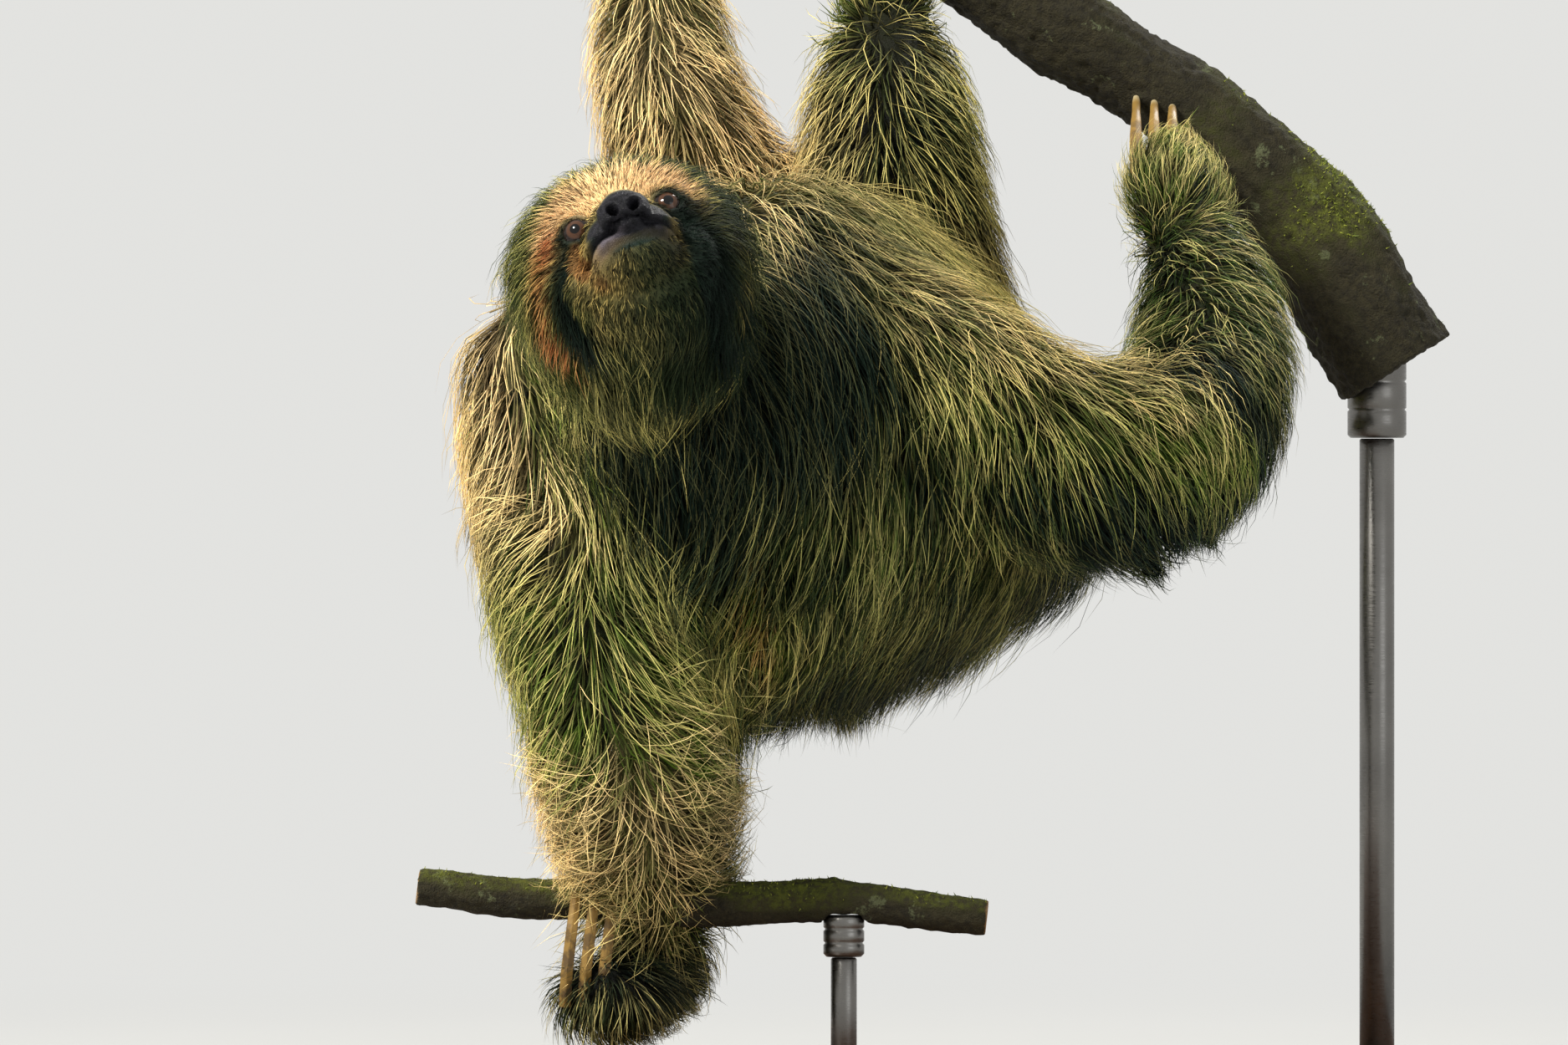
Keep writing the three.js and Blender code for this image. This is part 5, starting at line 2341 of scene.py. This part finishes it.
# ---- studio ----
@dataclass
class Studio:
    """A pale floor, soft lights and the camera."""

    camera_place: Triple = (-0.063, -5.110, 0.232)
    aim: Triple = (-0.03, -0.1, 0.28)
    lens: float = 300.0
    sensor: float = 36.0
    ambient: float = 0.42
    fade: tuple[float, float] = (0.5, 1.6)
    background: Colour = (0.765, 0.765, 0.745, 1.0)

    # name, place, size, power and colour of each
    LIGHTS = (
        ("key", (-2.0, -1.9, 2.8), 0.7, 174.0, (1.0, 0.98, 0.93)),
        ("fill", (2.4, -2.8, 1.0), 2.0, 16.0, (0.94, 0.97, 1.0)),
        ("back", (1.1, 2.0, 2.5), 1.0, 54.0, (1.0, 0.98, 0.94)),
    )

    def build(self) -> None:
        """Sets up everything round the animal."""
        self._floor()
        for light in self.LIGHTS:
            self._light(*light)
        scene = bpy.context.scene
        scene.world = self._world()
        scene.view_settings.view_transform = "Standard"
        data = bpy.data.cameras.new("view")
        data.lens = self.lens
        data.sensor_width = self.sensor
        data.clip_end = 50.0
        camera = bpy.data.objects.new("view", data)
        camera.location = self.camera_place
        camera.rotation_euler = (math.pi / 2.0, 0.0, 0.0)
        scene.collection.objects.link(camera)
        scene.camera = camera

    def _floor(self) -> None:
        """Makes a wide round floor that keeps the shadow near the base and fades into the background."""
        across, around = 24.0, 96
        turns = np.linspace(0.0, 2.0 * math.pi, around, endpoint=False)
        points = [(across * math.cos(t), across * math.sin(t), 0.0) for t in turns]
        mesh = bpy.data.meshes.new("floor_disc")
        mesh.from_pydata(points, [], [tuple(range(around))])
        floor = new_object("floor_disc", mesh)
        material, net, shader = new_material("floor_paper")
        place = net.place()
        soft = net.noise(place, 3, 2)
        colour = net.mix(soft, shade(190, 190, 187), shade(194, 194, 192))
        net.fill(shader, {"Base Color": colour, "Roughness": 0.9})
        distance = net.add("ShaderNodeVectorMath", operation="LENGTH")
        net.fill(distance, {0: place})
        far = net.span(distance.outputs["Value"], *self.fade)
        glow = net.add("ShaderNodeEmission")
        net.fill(glow, {"Color": self.background})
        blend = net.add("ShaderNodeMixShader")
        net.fill(blend, {0: net.times(far, self._seen(net)), 1: shader.outputs[0], 2: glow.outputs[0]})
        sink = next(node for node in net.tree.nodes if node.type == "OUTPUT_MATERIAL")
        net.fill(sink, {"Surface": blend.outputs[0]})
        mesh.materials.append(material)

    def _seen(self, net: Wiring) -> NodeSocket:
        """Gives 1 for rays that show the background: seen, mirrored or passed through."""
        path = net.add("ShaderNodeLightPath").outputs
        mirrored = net.math("MAXIMUM", path["Is Glossy Ray"], path["Is Transmission Ray"])
        return net.math("MAXIMUM", path["Is Camera Ray"], mirrored)

    def _world(self) -> World:
        """Makes a dim even sky that shows as a pale background.

        Returns:
            The world.
        """
        world = bpy.data.worlds.new("studio")
        world.use_nodes = True
        net = Wiring(world.node_tree)
        plain = world.node_tree.nodes["Background"]
        net.fill(plain, {"Color": (0.93, 0.96, 1.0, 1.0), "Strength": self.ambient})
        pale = net.add("ShaderNodeBackground")
        net.fill(pale, {"Color": self.background})
        blend = net.add("ShaderNodeMixShader")
        net.fill(blend, {0: self._seen(net), 1: plain.outputs[0], 2: pale.outputs[0]})
        net.fill(world.node_tree.nodes["World Output"], {"Surface": blend.outputs[0]})
        return world

    def _light(self, name: str, place: Triple, size: float, power: float, colour: Triple) -> None:
        """Adds one soft square light that faces the animal.

        Args:
            name: Its name.
            place: Where it stands.
            size: The length of its sides, in metres.
            power: Its power, in watts.
            colour: Its colour.
        """
        data = bpy.data.lights.new(name, "AREA")
        data.size = size
        data.energy = power
        data.color = colour
        lamp = bpy.data.objects.new(name, data)
        lamp.location = place
        aim = Vector(self.aim) - Vector(place)
        lamp.rotation_euler = aim.to_track_quat("-Z", "Y").to_euler()
        bpy.context.scene.collection.objects.link(lamp)


def coat_outline() -> BVHTree:
    """Makes the outline that the tips of the coat reach, from the nodes of flesh.

    Returns:
        The outline, ready to be searched.
    """
    body = node_copy(FLESH, "outline")
    swollen(body, Skin.swell)
    remeshed(body, Skin.voxel, 3)
    corner, _ = triangles(body.data)
    tree = BVHTree.FromPolygons(coordinates(body.data).tolist(), corner.tolist())
    bpy.data.objects.remove(body)
    return tree


def dress_skin(skin: Object, flow: Flow, painter: Painter, material: Material) -> None:
    """Paints the skin and lets it stand for every node of flesh.

    Args:
        skin: The skin.
        flow: The lie of the hair on it.
        painter: Works out the markings.
        material: The finish of the hide.
    """
    mesh = skin.data
    painter.paint(flow.points, flow.normals, flow.node).store(mesh)
    face = (1.0 - face_growth(painter.anatomy.head.to_local(flow.points))) * (flow.node == 0)
    # The skin takes a low along and rand, so the colour group makes it as dark as the roots of the coat:
    # painted shade under the coat, lighter where the face's hair is short.
    set_attribute(mesh, "along", 0.08 + 0.5 * face)
    set_attribute(mesh, "rand", 0.2 + 0.35 * face)
    mesh.materials.clear()
    mesh.materials.append(material)
    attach(skin, "root")
    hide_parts(*FLESH, "ear_left", "ear_right")
    LOG.info("%s: %d faces", skin.name, len(mesh.polygons))


def main() -> None:
    """Builds the whole model."""
    logging.basicConfig(level=logging.INFO, format="%(relativeCreated)d %(message)s")
    Studio().build()
    anatomy = Anatomy()
    painter = Painter(anatomy)
    colours = CoatColour()
    tree = colours.group()
    skin = Skin(anatomy, painter).build()
    flow = Flow(anatomy, skin)
    LOG.info("skin is combed")
    dress_skin(skin, flow, painter, SkinFinish().material(tree, colours))
    for piece in Coat(flow, painter, coat_outline()).build(HairFinish().material(tree, colours)):
        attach(piece, "root")
    eye = EyeFinish().material()
    for side in SIDES:
        Eye(anatomy, side).build(eye)
    horn = ClawFinish().material()
    for limb in ("hand", "foot"):
        for side in SIDES:
            for finger in (1, 2, 3):
                Claw(f"claw_{limb}_{side}_{finger}").build(horn)
    bark = BarkFinish().material()
    moss = MossFinish().material()
    main_perch = Perch("perch_main", voxel=1.7 * MM, furrow=2.2 * MM).build(bark)
    low_perch = Perch("perch_low", voxel=1.1 * MM, furrow=0.9 * MM).build(bark)
    Moss(main_perch, "moss_main").build(moss)
    Moss(low_perch, "moss_low", density=120_000.0, height=1.3 * MM, seed=32).build(moss)
    Stand().build(WoodFinish().material(), SteelFinish().material())


if __name__ == "__main__":
    main()
